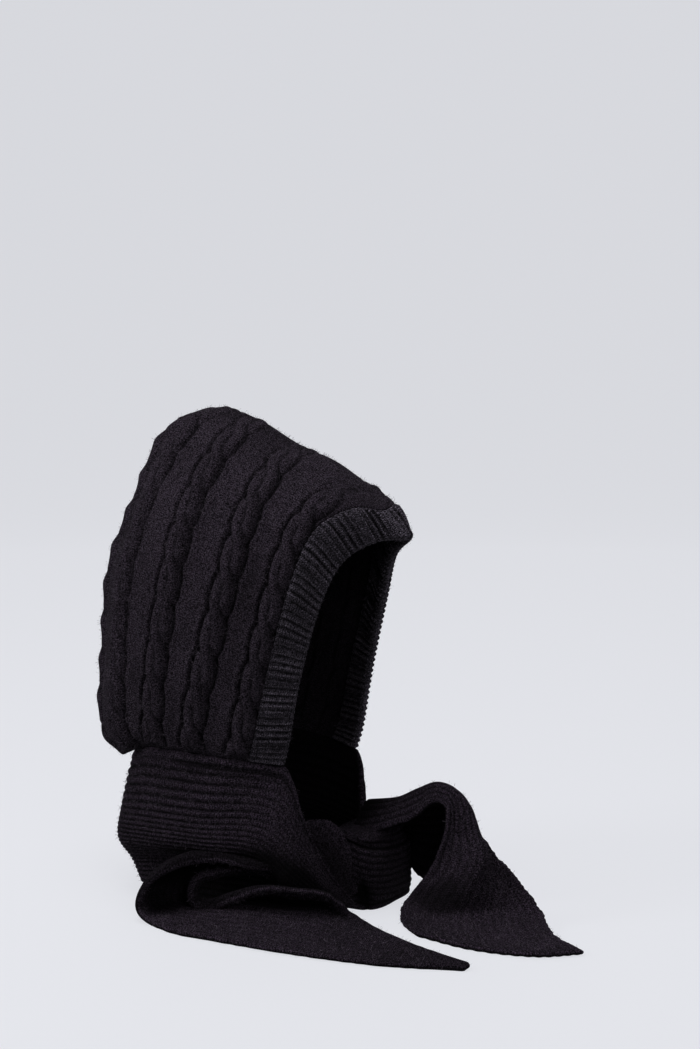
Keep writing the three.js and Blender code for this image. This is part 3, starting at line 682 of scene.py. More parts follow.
# The scarf's rib, knitted lengthwise.
SCARF_WOOL = KnittedWool(
    "black_merino_scarf_rib", "#382f3b", "#050406", "#5d5461", Wales.ALONG_U, rib=SCARF_RIB_PITCH
)


def fibre_wool() -> Material:
    """Single loose hairs of the black yarn, which catch the light and look grey."""
    material = bpy.data.materials.new("loose_merino_hair")
    material.use_nodes = True
    tree = material.node_tree
    spot = node(tree, "ShaderNodeTexCoord").outputs["Object"]
    noise = node(tree, "ShaderNodeTexNoise", Vector=spot, Scale=240.0, Detail=1.0)
    skin = tree.nodes["Principled BSDF"]
    colour = KnittedWool.mixed(tree, noise.outputs["Fac"], linear("#2a242d"), linear("#7d7480"))
    tree.links.new(colour, skin.inputs["Base Color"])
    skin.inputs["Roughness"].default_value = 0.9
    skin.inputs["Specular IOR Level"].default_value = 0.15
    return material


def finishes() -> dict[Slot, Material]:
    """The materials by slot."""
    wools = {Slot.CABLE: CABLE_WOOL, Slot.RIB: BAND_WOOL, Slot.SCARF: SCARF_WOOL}
    return {slot: wool.build() for slot, wool in wools.items()}


def settle(piece: Object) -> None:
    """Presses what lies under the floor flat against it."""
    places = np.empty(3 * len(piece.data.vertices))
    piece.data.vertices.foreach_get("co", places)
    places[2::3] = np.maximum(places[2::3], FLOOR_CLEARANCE)
    piece.data.vertices.foreach_set("co", places)
    piece.data.update()


class FabricTree:
    """A geometry tree that works on a piece of fabric.

    Attributes:
        tree: The node tree.
        start: Its first node, which gives the fabric and the named inputs.
        values: The inputs' values by socket identifier.
    """

    def __init__(self, name: str, inputs: dict[str, float | int]) -> None:
        """Makes the tree with its named inputs, a whole number's as such."""
        self.tree = bpy.data.node_groups.new(name, "GeometryNodeTree")
        add_socket = self.tree.interface.new_socket
        for way in ("OUTPUT", "INPUT"):
            add_socket("Fabric", in_out=way, socket_type="NodeSocketGeometry")
        self.values: dict[str, float | int] = {}
        for label, value in inputs.items():
            kind = "NodeSocketInt" if isinstance(value, int) else "NodeSocketFloat"
            self.values[add_socket(label, in_out="INPUT", socket_type=kind).identifier] = value
        self.start = node(self.tree, "NodeGroupInput")

    def trait(self, name: str) -> Node:
        """A number that each point of the fabric holds under a name."""
        return node(self.tree, "GeometryNodeInputNamedAttribute", {"data_type": "FLOAT"}, Name=name)

    def finish(self, made: Node, material: Material) -> None:
        """Ends the tree with what it made, as real faces in their material."""
        real = node(self.tree, "GeometryNodeRealizeInstances", Geometry=made)
        dressed = node(self.tree, "GeometryNodeSetMaterial", Geometry=real, Material=material)
        node(self.tree, "NodeGroupOutput", Fabric=dressed)

    def mesh(self, piece: Object) -> Mesh:
        """The plain mesh that the tree makes of a piece, which is left without the modifier."""
        modifier = piece.modifiers.new("tree", "NODES")
        modifier.node_group = self.tree
        for identifier, value in self.values.items():
            modifier[identifier] = value
        graph = bpy.context.evaluated_depsgraph_get()
        made = bpy.data.meshes.new_from_object(piece.evaluated_get(graph), depsgraph=graph)
        piece.modifiers.remove(modifier)
        return made


@dataclass
class RibRelief:
    """Ribs that stand up from both skins of a sheet, side by side across its flat fabric.

    Attributes:
        pitch: From rib to rib, in millimetres.
        rise: How far a rib stands up, in millimetres.
        valley: The greater, the narrower the valley between two ribs.
    """

    pitch: float
    rise: float
    valley: float

    def work(self, piece: Object, material: Material) -> None:
        """Works the ribs into a piece, as high as its lift says."""
        inputs = {"Rib pitch": self.pitch, "Rib rise": self.rise, "Valley": self.valley}
        sheet = FabricTree("rib_relief", inputs)
        add, calc = partial(node, sheet.tree), partial(maths, sheet.tree)
        given = sheet.start.outputs
        turn = calc("DIVIDE", sheet.trait("flat_v"), given["Rib pitch"])
        wave = calc("ABSOLUTE", calc("COSINE", calc("MULTIPLY", turn, math.pi)))
        ridge = calc("SUBTRACT", 1.0, calc("POWER", wave, given["Valley"]))
        high = calc("MULTIPLY", calc("MULTIPLY", ridge, given["Rib rise"]), sheet.trait("lift"))
        far = calc("MULTIPLY", high, METRES)
        out = add("GeometryNodeInputNormal")
        away = add("ShaderNodeVectorMath", {"operation": "SCALE"}, i0=out, Scale=far)
        moved = add("GeometryNodeSetPosition", Geometry=given["Fabric"], Offset=away.outputs[0])
        sheet.finish(moved, material)
        plain = piece.data
        piece.data = sheet.mesh(piece)
        bpy.data.meshes.remove(plain)


@dataclass
class LooseFibres:
    """Fine hairs of wool that stand off the knit.

    Attributes:
        per_square_metre: How many hairs grow on a square metre.
        seed: The seed of the scatter.
        length: A hair's length, in millimetres.
        width: A hair's width, in millimetres, wider than a real one so that it shows.
        lean: How far a hair tips out of the fabric at most, in radians.
        lengths: The shortest and the longest hair, as shares of the length.
    """

    per_square_metre: float
    seed: int
    length: float = 4.0
    width: float = 0.13
    lean: float = 0.7
    lengths: tuple[float, float] = (0.5, 1.4)

    def grow(self, piece: Object, material: Material) -> Object:
        """The hairs of a piece as one object: bent strips scattered over it, most of them flat."""
        inputs = {
            "Density": self.per_square_metre,
            "Length": self.length * METRES,
            "Width": self.width * METRES,
            "Seed": self.seed,
        }
        sheet = FabricTree("loose_fibres", inputs)
        add, calc = partial(node, sheet.tree), partial(maths, sheet.tree)
        given = sheet.start.outputs
        seed = given["Seed"]
        # No hair grows where shade is painted, inside a fold or on the wrong side.
        unshaded = calc("MAXIMUM", calc("MULTIPLY_ADD", sheet.trait("painted_shade"), -2.0, 1.0), 0.0)
        dense = calc("MULTIPLY", unshaded, given["Density"])
        scatter = "GeometryNodeDistributePointsOnFaces"
        spots = add(scatter, Mesh=given["Fabric"], Density=dense, Seed=seed)
        size = {"Size_X": given["Width"], "Size_Y": given["Length"]}
        strip = add("GeometryNodeMeshGrid", **size, Vertices_X=2, Vertices_Y=4)
        # Each strip is bent up like an arch, so that it leaves the fabric and comes back.
        place = add("ShaderNodeSeparateXYZ", Vector=add("GeometryNodeInputPosition"))
        half = calc("MULTIPLY", given["Length"], 0.5)
        share = calc("DIVIDE", place.outputs[1], half)
        arch = calc("MULTIPLY", calc("MULTIPLY", share, share), half)
        rise = add("ShaderNodeCombineXYZ", X=calc("MULTIPLY", arch, 0.5), Z=arch)
        bent = add("GeometryNodeSetPosition", Geometry=strip.outputs["Mesh"], Offset=rise)
        low, high = (-self.lean, -self.lean, 0.0), (self.lean, self.lean, 6.283)
        draw = "FunctionNodeRandomValue"
        tilt = add(draw, {"data_type": "FLOAT_VECTOR"}, i0=low, i1=high, Seed=seed)
        tip = add("FunctionNodeEulerToRotation", Euler=tilt.outputs[0])
        stand = {"Rotation": spots.outputs["Rotation"], "Rotate_By": tip}
        turned = add("FunctionNodeRotateRotation", {"rotation_space": "LOCAL"}, **stand)
        short, long = self.lengths
        scale = add(draw, {"data_type": "FLOAT"}, i2=short, i3=long, Seed=seed)
        hairs = add(
            "GeometryNodeInstanceOnPoints",
            Points=spots.outputs["Points"],
            Instance=bent,
            Rotation=turned.outputs[0],
            Scale=scale.outputs[1],
        )
        sheet.finish(hairs, material)
        mesh = sheet.mesh(piece)
        mesh.name = f"{piece.name}_fibres"
        grown = bpy.data.objects.new(mesh.name, mesh)
        bpy.context.scene.collection.objects.link(grown)
        settle(grown)
        return grown


# ---- The hood --------------------------------------------------------------------------------------


class HoodForm:
    """The outer skin of the hood and its face band, from the back seam to the face edge."""

    def __init__(self) -> None:
        """Places the sections' points for both halves."""
        rows = [
            [self.place(point, -1) for point in row] + [self.place(point, 1) for point in row[-2::-1]]
            for row in HOOD_SECTIONS
        ]
        # A mirrored row behind the back seam makes both halves meet there without a crease.
        knots = np.array([-HOOD_KNOTS[1], *HOOD_KNOTS])
        self.net = Net(np.array([rows[1][::-1], *rows]), knots)

    @staticmethod
    def place(shares: tuple[float, float, float], side: int) -> list[float]:
        """A section's point on the wearer's right (-1) or left (1), in millimetres."""
        out, back, up = shares
        # On the left the hood hangs lower, the more so in front, and its face edge stands forward.
        drop = SCARF_DROP / 100 * HOOD_HALF_WIDTH * out * (side > 0) * (1 - up)
        reach = 1 + max(0.0, -back) * 3
        forward = max(0.0, -back - FACE_TURN_FROM) * FACE_TURN * (side > 0)
        return [
            side * out * HOOD_HALF_WIDTH,
            (back - forward) * HOOD_DEPTH,
            NECK_RISE + up * HOOD_HEIGHT - drop * reach,
        ]

    def at(self, alongs: np.ndarray, acrosses: np.ndarray) -> np.ndarray:
        """Points of the skin, as alongs by acrosses by 3."""
        return self.net.at(alongs, acrosses)

    def edge(self, seams: np.ndarray, side: int) -> np.ndarray:
        """Points of the neck edge on one side, at shares from the back seam to the face edge."""
        return self.at(seams, np.array([1.0 if side > 0 else 0.0]))[:, 0]


@dataclass
class CableRelief:
    """Rope cables between purl gutters, with plain panels between them.

    Attributes:
        strand: The radius of one strand, in millimetres.
        swing: How far a strand swings out from the cable's middle.
        rise: How far a strand stands up from the plain knit.
        turn: From one crossing to the next.
        gutter: The width of the gutter beside a cable.
        depth: The depth of the gutter.
        hump: How much higher a strand stands where it goes over the other one.
    """

    strand: float = 7.3
    swing: float = 5.0
    rise: float = 4.6
    turn: float = 37.0
    gutter: float = 2.8
    depth: float = 3.8
    hump: float = 2.8

    def work(self, x: np.ndarray, v: np.ndarray) -> tuple[np.ndarray, np.ndarray, np.ndarray]:
        """The relief of one cable.

        Args:
            x: Millimetres from the cable's middle line.
            v: Millimetres along the cable.

        Returns:
            The height over the plain knit, how far the stitches are shifted sideways because they
            follow the strand that they are on, how deep the crease between two strands is, and
            where this cable is the nearest, 0 or 1.
        """
        rope, path, side, crease = self.rope(x, v)
        beyond = np.abs(x) - side
        inside = beyond < 0.9
        ditch = -self.depth * bump(beyond, 0.9, self.gutter * 0.5)
        shoulder = 0.9 * bump(beyond, 5.0, 2.8)
        height = np.where(inside, np.maximum(rope, -self.depth), ditch + shoulder)
        return height, path * inside, crease * inside, (beyond < 12.0).astype(float)

    def rope(self, x: np.ndarray, v: np.ndarray) -> tuple[np.ndarray, ...]:
        """The two strands: height, middle of the upper one, half width of both, and crease."""
        best = np.full_like(x, -self.depth)
        other = np.full_like(x, -self.depth)
        middle = np.zeros_like(x)
        side = np.zeros_like(x)
        for lap in range(2):
            w = np.mod(v, self.turn) + self.turn * lap
            # A strand comes up on one side, goes over the other strand and dives on the far side.
            share = np.clip((w / self.turn - 1) * 1.05 + 0.5, 0, 1)
            path = self.swing * np.cos(math.pi * (0.55 * share + 0.45 * smooth(share)))
            ends = smooth(w / (self.turn * 0.3)) * smooth((2 * self.turn - w) / (self.turn * 0.3))
            hump = self.hump * bump(w, self.turn, self.turn * 0.32)
            off = np.clip(np.abs(x - path) / self.strand, 0, 1)
            form = np.sqrt(1 - off**2)
            high = (self.rise + hump + self.depth) * form * (0.42 + 0.58 * ends) - self.depth
            upper = high > best
            other = np.where(upper, best, np.maximum(high, other))
            best, middle = np.where(upper, high, best), np.where(upper, path, middle)
            side = np.maximum(side, (np.abs(path) + self.strand * 0.97) * (0.78 + 0.22 * ends))
        close = bump(best - other, 0.0, 1.3) * smooth((best + self.depth) / 2.0)
        return best, middle, side, close


@dataclass
class HoodShell:
    """The cable-knit shell of the hood, sewn at the back of the head.

    Attributes:
        form: The hood's outer skin.
        wall: The fabric's thickness, in millimetres.
        alongs: Grid rows from the back seam to the band.
        acrosses: Grid columns from neck edge to neck edge.
        cables: How many cables each half has.
        pitch: From one cable to the next.
        first: From the band to the middle of the first cable.
        start: Where along the first cable its crossings are counted from.
        stagger: How much further the crossings of each next cable lie.
    """

    form: HoodForm
    wall: float = 4.6
    alongs: int = 201
    acrosses: int = 361
    cables: int = 5
    pitch: float = 49.3
    first: float = 12.5
    start: float = 1000.0
    stagger: float = 13.0
    cable: CableRelief = field(default_factory=CableRelief)

    def worked(self, base: np.ndarray, alongs: np.ndarray, v: np.ndarray) -> tuple[np.ndarray, ...]:
        """The relief of all cables over the grid.

        Args:
            base: The grid of points.
            alongs: The grid's rows, as shares from the back seam.
            v: Millimetres along the cables, at each point.

        Returns:
            The height, how far the stitches are shifted sideways, and the creases.
        """
        far = run_along(base, 0)
        first = BAND_SHARE - self.first / PANEL_FLAT_WIDTH
        height, shift, crease = np.zeros(v.shape), np.zeros(v.shape), np.zeros(v.shape)
        for number in range(self.cables):
            share = first - number * self.pitch / PANEL_FLAT_WIDTH
            line = np.array([np.interp(share, alongs, far[:, j]) for j in range(far.shape[1])])
            x = far - line[None, :]
            high, slide, fold, near = self.cable.work(x, v + self.start + number * self.stagger)
            height = np.where(near > 0, high, height)
            shift = np.where(near > 0, slide, shift)
            crease = np.maximum(crease, fold)
        return height, shift, crease

    def build(self, finish: Material) -> Object:
        """The shell as one closed piece."""
        last = BAND_SHARE - SEAM_GAP / 2 / PANEL_FLAT_WIDTH
        rim = last - np.array([0.004, 0.0015, 0.0])
        alongs = np.concatenate([np.linspace(0, last - 0.008, self.alongs - 3), rim])
        acrosses = eased_ends(self.acrosses, (0.0, 1.0), 0.0035)
        base = self.form.at(np.concatenate([[-alongs[1]], alongs]), acrosses)
        normals = grid_normals(base)[1:]
        base = base[1:]
        # On the back seam the fabric faces straight back, also where the seam runs into the ridge.
        normals[0, :, 0] = 0
        ridge = len(acrosses) // 2
        normals[0, ridge] = normals[0, ridge - 1] + normals[0, ridge + 1]
        normals[0] /= np.linalg.norm(normals[0], axis=1, keepdims=True)
        v = run_along(base, 1)
        v = v - v[:, [ridge]]
        u = np.broadcast_to(alongs[:, None] * PANEL_FLAT_WIDTH, v.shape)
        height, shift, crease = self.worked(base, alongs, v)
        from_neck = np.minimum(run_along(base, 1), run_along(base[:, ::-1], 1)[:, ::-1])
        from_band = (last - alongs[:, None]) * PANEL_FLAT_WIDTH
        # At the back corners the fabric sags a little over the neck seam.
        sag = bump(from_neck, 10.0, 8.0) * bump(u, 42.0, 34.0)
        base = base + (sag * smooth(from_neck / 4.0))[..., None] * (normals * 1.5 - [0.0, 0.0, 2.5])
        # Walls stand upright at the neck seam, so that both edges meet.
        normals[..., 2] *= 0.15 + 0.85 * smooth(from_neck / 10.0)
        normals /= np.linalg.norm(normals, axis=2, keepdims=True)
        calm = smooth(from_neck / 12.0)
        # Over the ridge the fabric is stretched, so the cables lie flatter there, most in front.
        crown = 1 - (1 - smooth((np.abs(v) - 12.0) / 60.0)) * np.where(u > 215.0, 0.95, 0.78)
        height = height * calm * crown + self.slack(u, v) * calm
        # The fabric stands up in a small roll beside the neck seam.
        height += 0.8 * bump(from_neck, 4.5, 2.0)
        # At the back the fabric is gathered into the neck seam.
        gathers = np.exp(-from_neck / 24.0) * bump(u, 55.0, 55.0)
        height += 1.6 * gathers * smooth(from_neck / 5.0) * np.sin(u / 2.6 + np.sin(v / 21.0))
        height -= 1.6 * bump(u, 0.0, 2.6)
        thick = 0.5 + 0.5 * np.minimum(rim_share(from_neck, 2.0), rim_share(from_band, 2.0))
        middle = base - normals * (self.wall / 2)
        # Painted shade: dark gutters and creases through the lift, and a dark inner skin.
        skins = Skins(
            outer=middle + normals * (self.wall / 2 * thick + height)[..., None],
            inner=middle - normals * (self.wall / 2 * thick)[..., None],
            flat=np.stack([u - shift, v], axis=2),
            coarse=2,
            seamed=True,
            lift=np.clip(np.maximum(-height / self.cable.depth, 0.75 * crease), 0.0, 1.0),
            painted_shade=(0.0, 0.62),
        )
        piece = skins.mesh("hood_shell")
        piece.data.materials.append(finish)
        return piece

    @staticmethod
    def slack(u: np.ndarray, v: np.ndarray) -> np.ndarray:
        """Soft waves of slack fabric, in millimetres."""
        slow = np.sin(u / 31 + 0.6 * np.sin(v / 47)) * np.sin(v / 58 + 1.3)
        fine = np.sin(u / 17 + v / 39 + 0.8) * np.sin(v / 26 - u / 60)
        return 0.9 * slow + 0.45 * fine


@dataclass
class FaceBand:
    """The ribbed band round the face opening.

    Attributes:
        form: The hood's outer skin, which runs on over the band.
        wall: The fabric's thickness, in millimetres.
        ribs: How many ribs lie side by side round the opening.
        rib_rise: How far a rib stands up, in millimetres.
        rib_valley: The greater, the narrower the valley between two ribs.
    """

    form: HoodForm
    wall: float = 6.0
    ribs: int = 98
    rib_rise: float = 2.9
    rib_valley: float = 2.2

    def build(self, finish: Material) -> Object:
        """The band as one closed piece with its ribs worked in."""
        first = BAND_SHARE + SEAM_GAP / 2 / PANEL_FLAT_WIDTH
        alongs = eased_ends(22, (first, 1.0), 0.011)
        acrosses = np.linspace(0.0, 1.0, 8 * self.ribs + 1)
        base = self.form.at(alongs, acrosses)
        normals = grid_normals(base)
        v = run_along(self.form.at(np.array([1.0]), acrosses), 1)[0]
        u = (alongs[:, None] - first) * PANEL_FLAT_WIDTH
        edge = np.minimum(u, (1 - alongs[:, None]) * PANEL_FLAT_WIDTH)
        side = np.minimum(v, v[-1] - v)[None, :]
        thick = np.minimum(rim_share(np.minimum(edge, side), self.wall / 2) + 0.45 * (u < 3.0), 1.0)
        roll = 0.8 * bump((1 - alongs[:, None]) * PANEL_FLAT_WIDTH, 0.0, 3.5)
        middle = base - normals * (self.wall / 2)
        flat = np.stack(np.broadcast_arrays(u, v[None, :]), axis=2)
        skins = Skins(
            outer=middle + normals * (self.wall / 2 * thick + roll * thick - 0.4)[..., None],
            inner=middle - normals * (self.wall / 2 * thick)[..., None],
            flat=flat,
            lift=np.broadcast_to(smooth(edge / 3.0) * 0.8 + 0.2, flat.shape[:2]),
            # Painted shade on the inner skin.
            painted_shade=(0.0, 0.3),
        )
        piece = skins.mesh("face_band_rib")
        RibRelief(v[-1] / self.ribs, self.rib_rise, self.rib_valley).work(piece, finish)
        return piece


# ---- The scarf -------------------------------------------------------------------------------------


class RibbedGrid:
    """The grid of a sheet that is ribbed lengthwise.

    Attributes:
        alongs: Its rows, as shares of its length.
        acrosses: Its columns, as shares of its width, six to a rib.
        base: Its points.
        normals: Their unit normals.
        u: Millimetres along the flat fabric.
        v: Millimetres across it.
        edge: Millimetres from the nearer of both long edges.
        end: Millimetres from the nearer end.
        flat: Both places on the flat fabric, at each point.
    """

    def __init__(
        self,
        surface: Callable[[np.ndarray, np.ndarray], np.ndarray],
        rows: int,
        width: tuple[int, float],
        near: tuple[float, float],
    ) -> None:
        """Measures a surface.

        Args:
            surface: Gives the points at shares along and across.
            rows: How many rows there are.
            width: How many ribs lie side by side, and their pitch.
            near: The shares along and across over which the rims round off.
        """
        ribs, pitch = width
        self.alongs = eased_ends(rows, (0.0, 1.0), near[0])
        self.acrosses = eased_ends(6 * ribs + 1, (0.0, 1.0), near[1])
        self.base = surface(self.alongs, self.acrosses)
        self.normals = grid_normals(self.base)
        self.u = run_along(self.base, 0).mean(axis=1, keepdims=True)
        self.v = self.acrosses[None, :] * ribs * pitch
        self.edge = np.minimum(self.acrosses, 1 - self.acrosses)[None, :] * ribs * pitch
        self.end = np.minimum(self.u, self.u[-1] - self.u)
        self.flat = np.stack(np.broadcast_arrays(self.u, self.v), axis=2)


@dataclass
class NeckScarf:
    """The ribbed scarf where it goes round the neck and stands on the floor.

    Attributes:
        form: The hood's outer skin, which it is sewn to.
        wall: The fabric's thickness, in millimetres.
        rib: Its ribs, which run round the neck.
        ribs: How many there are from the seam down to the floor.
        rows: Grid rows round the neck.
    """

    form: HoodForm
    wall: float = 5.0
    rib: RibRelief = field(default_factory=lambda: RibRelief(SCARF_RIB_PITCH, 1.8, 3.0))
    ribs: int = 27
    rows: int = 190

    def surface(self, alongs: np.ndarray, acrosses: np.ndarray) -> np.ndarray:
        """The scarf's outer skin, with its sewn edge held to the hood's neck edge."""
        size = np.array([HOOD_HALF_WIDTH, HOOD_DEPTH, NECK_RISE])
        rows = []
        for first, *rest in SCARF_SECTIONS:
            top = self.sewn(*first) if isinstance(first, Seam) else np.array(first) * size
            rows.append([top, *(np.array(rest) * size)])
        net = Net.spaced(np.array(rows))
        grid = net.at(alongs, acrosses)
        tops = net.at(alongs, np.array([0.0]))[:, 0]
        pull = np.maximum(0.0, 1 - 3 * acrosses) ** 2
        for i, along in enumerate(alongs):
            k = int(np.clip(np.searchsorted(net.knots, along, side="left") - 1, 0, len(rows) - 2))
            near, far = SCARF_SECTIONS[k][0], SCARF_SECTIONS[k + 1][0]
            if isinstance(near, Seam) and isinstance(far, Seam):
                way = (along - net.knots[k]) / (net.knots[k + 1] - net.knots[k])
                side = far.side if near.share == 0 else near.side
                top = self.sewn(side, near.share + (far.share - near.share) * way)
                grid[i] += pull[:, None] * (top - tops[i])
        return grid

    def sewn(self, side: int, share: float) -> np.ndarray:
        """A point of the sewn edge, just under the hood's neck edge."""
        return self.form.edge(np.array([share]), side)[0] - [0.0, 0.0, SEAM_GAP]

    def build(self, finish: Material) -> Object:
        """The scarf as one closed piece with its ribs worked in."""
        grid = RibbedGrid(self.surface, self.rows, (self.ribs, self.rib.pitch), (0.004, 0.017))
        alongs, acrosses, v, edge = grid.alongs, grid.acrosses, grid.v, grid.edge
        # The net runs the other way round the neck than over the hood, so its own normals face in
        # and the skin that is seen is the inner one.
        normals = -grid.normals
        # The free front edge is a selvedge: a plain rolled edge, then a sunk line beside it. Where
        # the scarf is sewn to the hood there is a small roll instead.
        free = smooth((alongs[:, None] - 0.69) / 0.05)
        loose = np.where(v < v[0, -1] / 2, free, 1.0)
        base = frayed(grid.base, grid.u, edge + 20.0 * (1 - loose))
        sewn = (1 - free) * (1 - smooth(v / 10.0))
        normals[..., 2] *= 1 - 0.85 * sewn
        normals /= np.linalg.norm(normals, axis=2, keepdims=True)
        thick = rim_share(np.minimum(edge, grid.end), self.wall / 2)
        thick = np.maximum(thick, (1 - loose) * (0.55 + 0.45 * rim_share(edge, 2.0)))
        middle = base - normals * (self.wall / 2)
        selvedge = 1.5 * bump(v, 3.0, 2.6) - 1.8 * bump(v, 8.0, 1.5)
        roll = 1.1 * bump(v, 4.0, 2.0) - 0.8 * bump(v, 8.5, 1.6)
        selvedge = selvedge * free + roll * (1 - free)
        # Below the hem line the scarf turns under, and it lies in the shade there.
        start = np.interp(alongs, (0.8, 0.92), (0.45, 0.2))
        under = 0.9 * smooth((acrosses[None, :] - start[:, None]) / 0.14)
        under = under * smooth((alongs[:, None] - 0.66) / 0.06)
        # Painted shade along the sunk line beside the selvedge.
        groove_shade = 0.75 * free * bump(v, 8.0, 1.5)
        # The ribs are flatter towards the free edge.
        ribbed = 1 - 0.5 * smooth((alongs[:, None] - 0.76) / 0.12)
        skins = Skins(
            outer=middle - normals * (self.wall / 2 * thick)[..., None],
            inner=middle + normals * (self.wall / 2 * thick + selvedge * thick)[..., None],
            flat=grid.flat,
            lift=smooth((edge - 4.0 * (1 - free)) / 5.0) * ribbed,
            # Painted shade: the skin that faces in is dark all over.
            painted_shade=(0.88, np.maximum(under, groove_shade)),
        )
        piece = skins.mesh("neck_scarf_wrap")
        self.rib.work(piece, finish)
        settle(piece)
        return piece


@dataclass
class Tie:
    """A length of the scarf that leaves the knot and ends in a point.

    Attributes:
        name: The piece's name.
        sections: The net's rows.
        size: What the rows' shares are of, in millimetres.
        rows: Grid rows along the tie.
        ribs: Ribs across it.
        wall: The fabric's thickness, in millimetres.
        rib: The form of its ribs.
        lift: How much the ribs show, from the start of the tie to its end.
        swells: Where the fabric is thicker, as a rolled edge is, told like the shades but in
            millimetres.
        under: How dark the shade painted on the skin that ends up underneath is.
        shades: Where shade is painted on the skin that ends up on top, deep in a fold: the middle along
        and across, how far it reaches both ways, all as shares, and how dark it is.
    """

    name: str
    sections: tuple[tuple[tuple[float, float, float], ...], ...]
    size: tuple[float, float, float]
    rows: int
    ribs: int
    wall: float = 4.5
    rib: RibRelief = field(default_factory=lambda: RibRelief(SCARF_RIB_PITCH, 1.6, 2.6))
    lift: tuple[float, float] = (0.8, 0.8)
    swells: tuple[tuple[float, ...], ...] = ()
    under: float = 0.5
    shades: tuple[tuple[float, ...], ...] = ()

    def build(self, finish: Material) -> Object:
        """The tie as one closed piece with its ribs worked in."""
        net = Net.spaced(np.array(self.sections) * self.size)
        grid = RibbedGrid(net.at, self.rows, (self.ribs, self.rib.pitch), (0.005, 0.022))
        alongs, acrosses, normals = grid.alongs, grid.acrosses, grid.normals
        base = frayed(grid.base, grid.u, grid.edge)
        thick = rim_share(np.minimum(grid.edge, grid.end), self.wall / 2)
        # Painted shade: dark spots deep in the folds of the skin that ends up on top, an even dark
        # underneath.
        dark = self.spread(self.shades, alongs, acrosses)
        half = self.wall / 2 * thick + self.spread(self.swells, alongs, acrosses) * thick
        ribbed = np.interp(alongs[:, None], (0.3, 0.75), self.lift)
        upper = normals[-8:, :, 2].mean() > 0
        skins = Skins(
            painted_shade=(dark, self.under) if upper else (self.under, dark),
            outer=base + normals * half[..., None],
            inner=base - normals * half[..., None],
            flat=grid.flat,
            lift=smooth(grid.edge / 4.0) * ribbed,
        )
        piece = skins.mesh(self.name)
        self.rib.work(piece, finish)
        settle(piece)
        return piece

    @staticmethod
    def spread(
        spots: Sequence[tuple[float, ...]], alongs: np.ndarray, acrosses: np.ndarray
    ) -> np.ndarray:
        """The greatest of several soft spots over a grid.

        Args:
            spots: Each spot's middle along and across, its reach both ways, and its height.
            alongs: The grid's rows.
            acrosses: The grid's columns.

        Returns:
            The height at each point.
        """
        high = np.zeros((len(alongs), len(acrosses)))
        for along, across, long, wide, much in spots:
            far = ((alongs[:, None] - along) / long) ** 2 + ((acrosses[None, :] - across) / wide) ** 2
            high = np.maximum(high, much * np.exp(-(far**2)))
        return high


RIGHT_TIE = Tie(
    "right_tie_end",
    RIGHT_TIE_SECTIONS,
    RIGHT_TIE_SIZE,
    rows=180,
    ribs=17,
    lift=(0.7, 0.2),
    swells=((0.21, 0.03, 0.07, 0.2, 1.9), (0.36, 0.97, 0.14, 0.16, 2.4)),
    under=0.7,
    shades=(
        (0.27, 0.42, 0.07, 0.4, 0.97),
        (0.36, 0.75, 0.08, 0.28, 0.85),
        (0.34, 0.42, 0.05, 0.17, 0.8),
        (0.56, 0.72, 0.16, 0.17, 0.97),
        (0.78, 0.45, 0.26, 0.7, 0.17),
    ),
)
LEFT_TIE = Tie(
    "left_tie_end",
    LEFT_TIE_SECTIONS,
    LEFT_TIE_SIZE,
    rows=160,
    ribs=15,
    lift=(0.85, 0.3),
    under=0.8,
    shades=((0.67, 0.22, 0.08, 0.18, 0.75), (0.0, 0.25, 0.07, 0.25, 0.93)),
)
SMALL_LOOP = Tie(
    "knot_loop",
    LOOP_SECTIONS,
    LOOP_SIZE,
    rows=60,
    ribs=5,
    lift=(0.4, 0.4),
    under=0.45,
    shades=((0.6, 0.9, 0.9, 0.6, 0.6),),
)


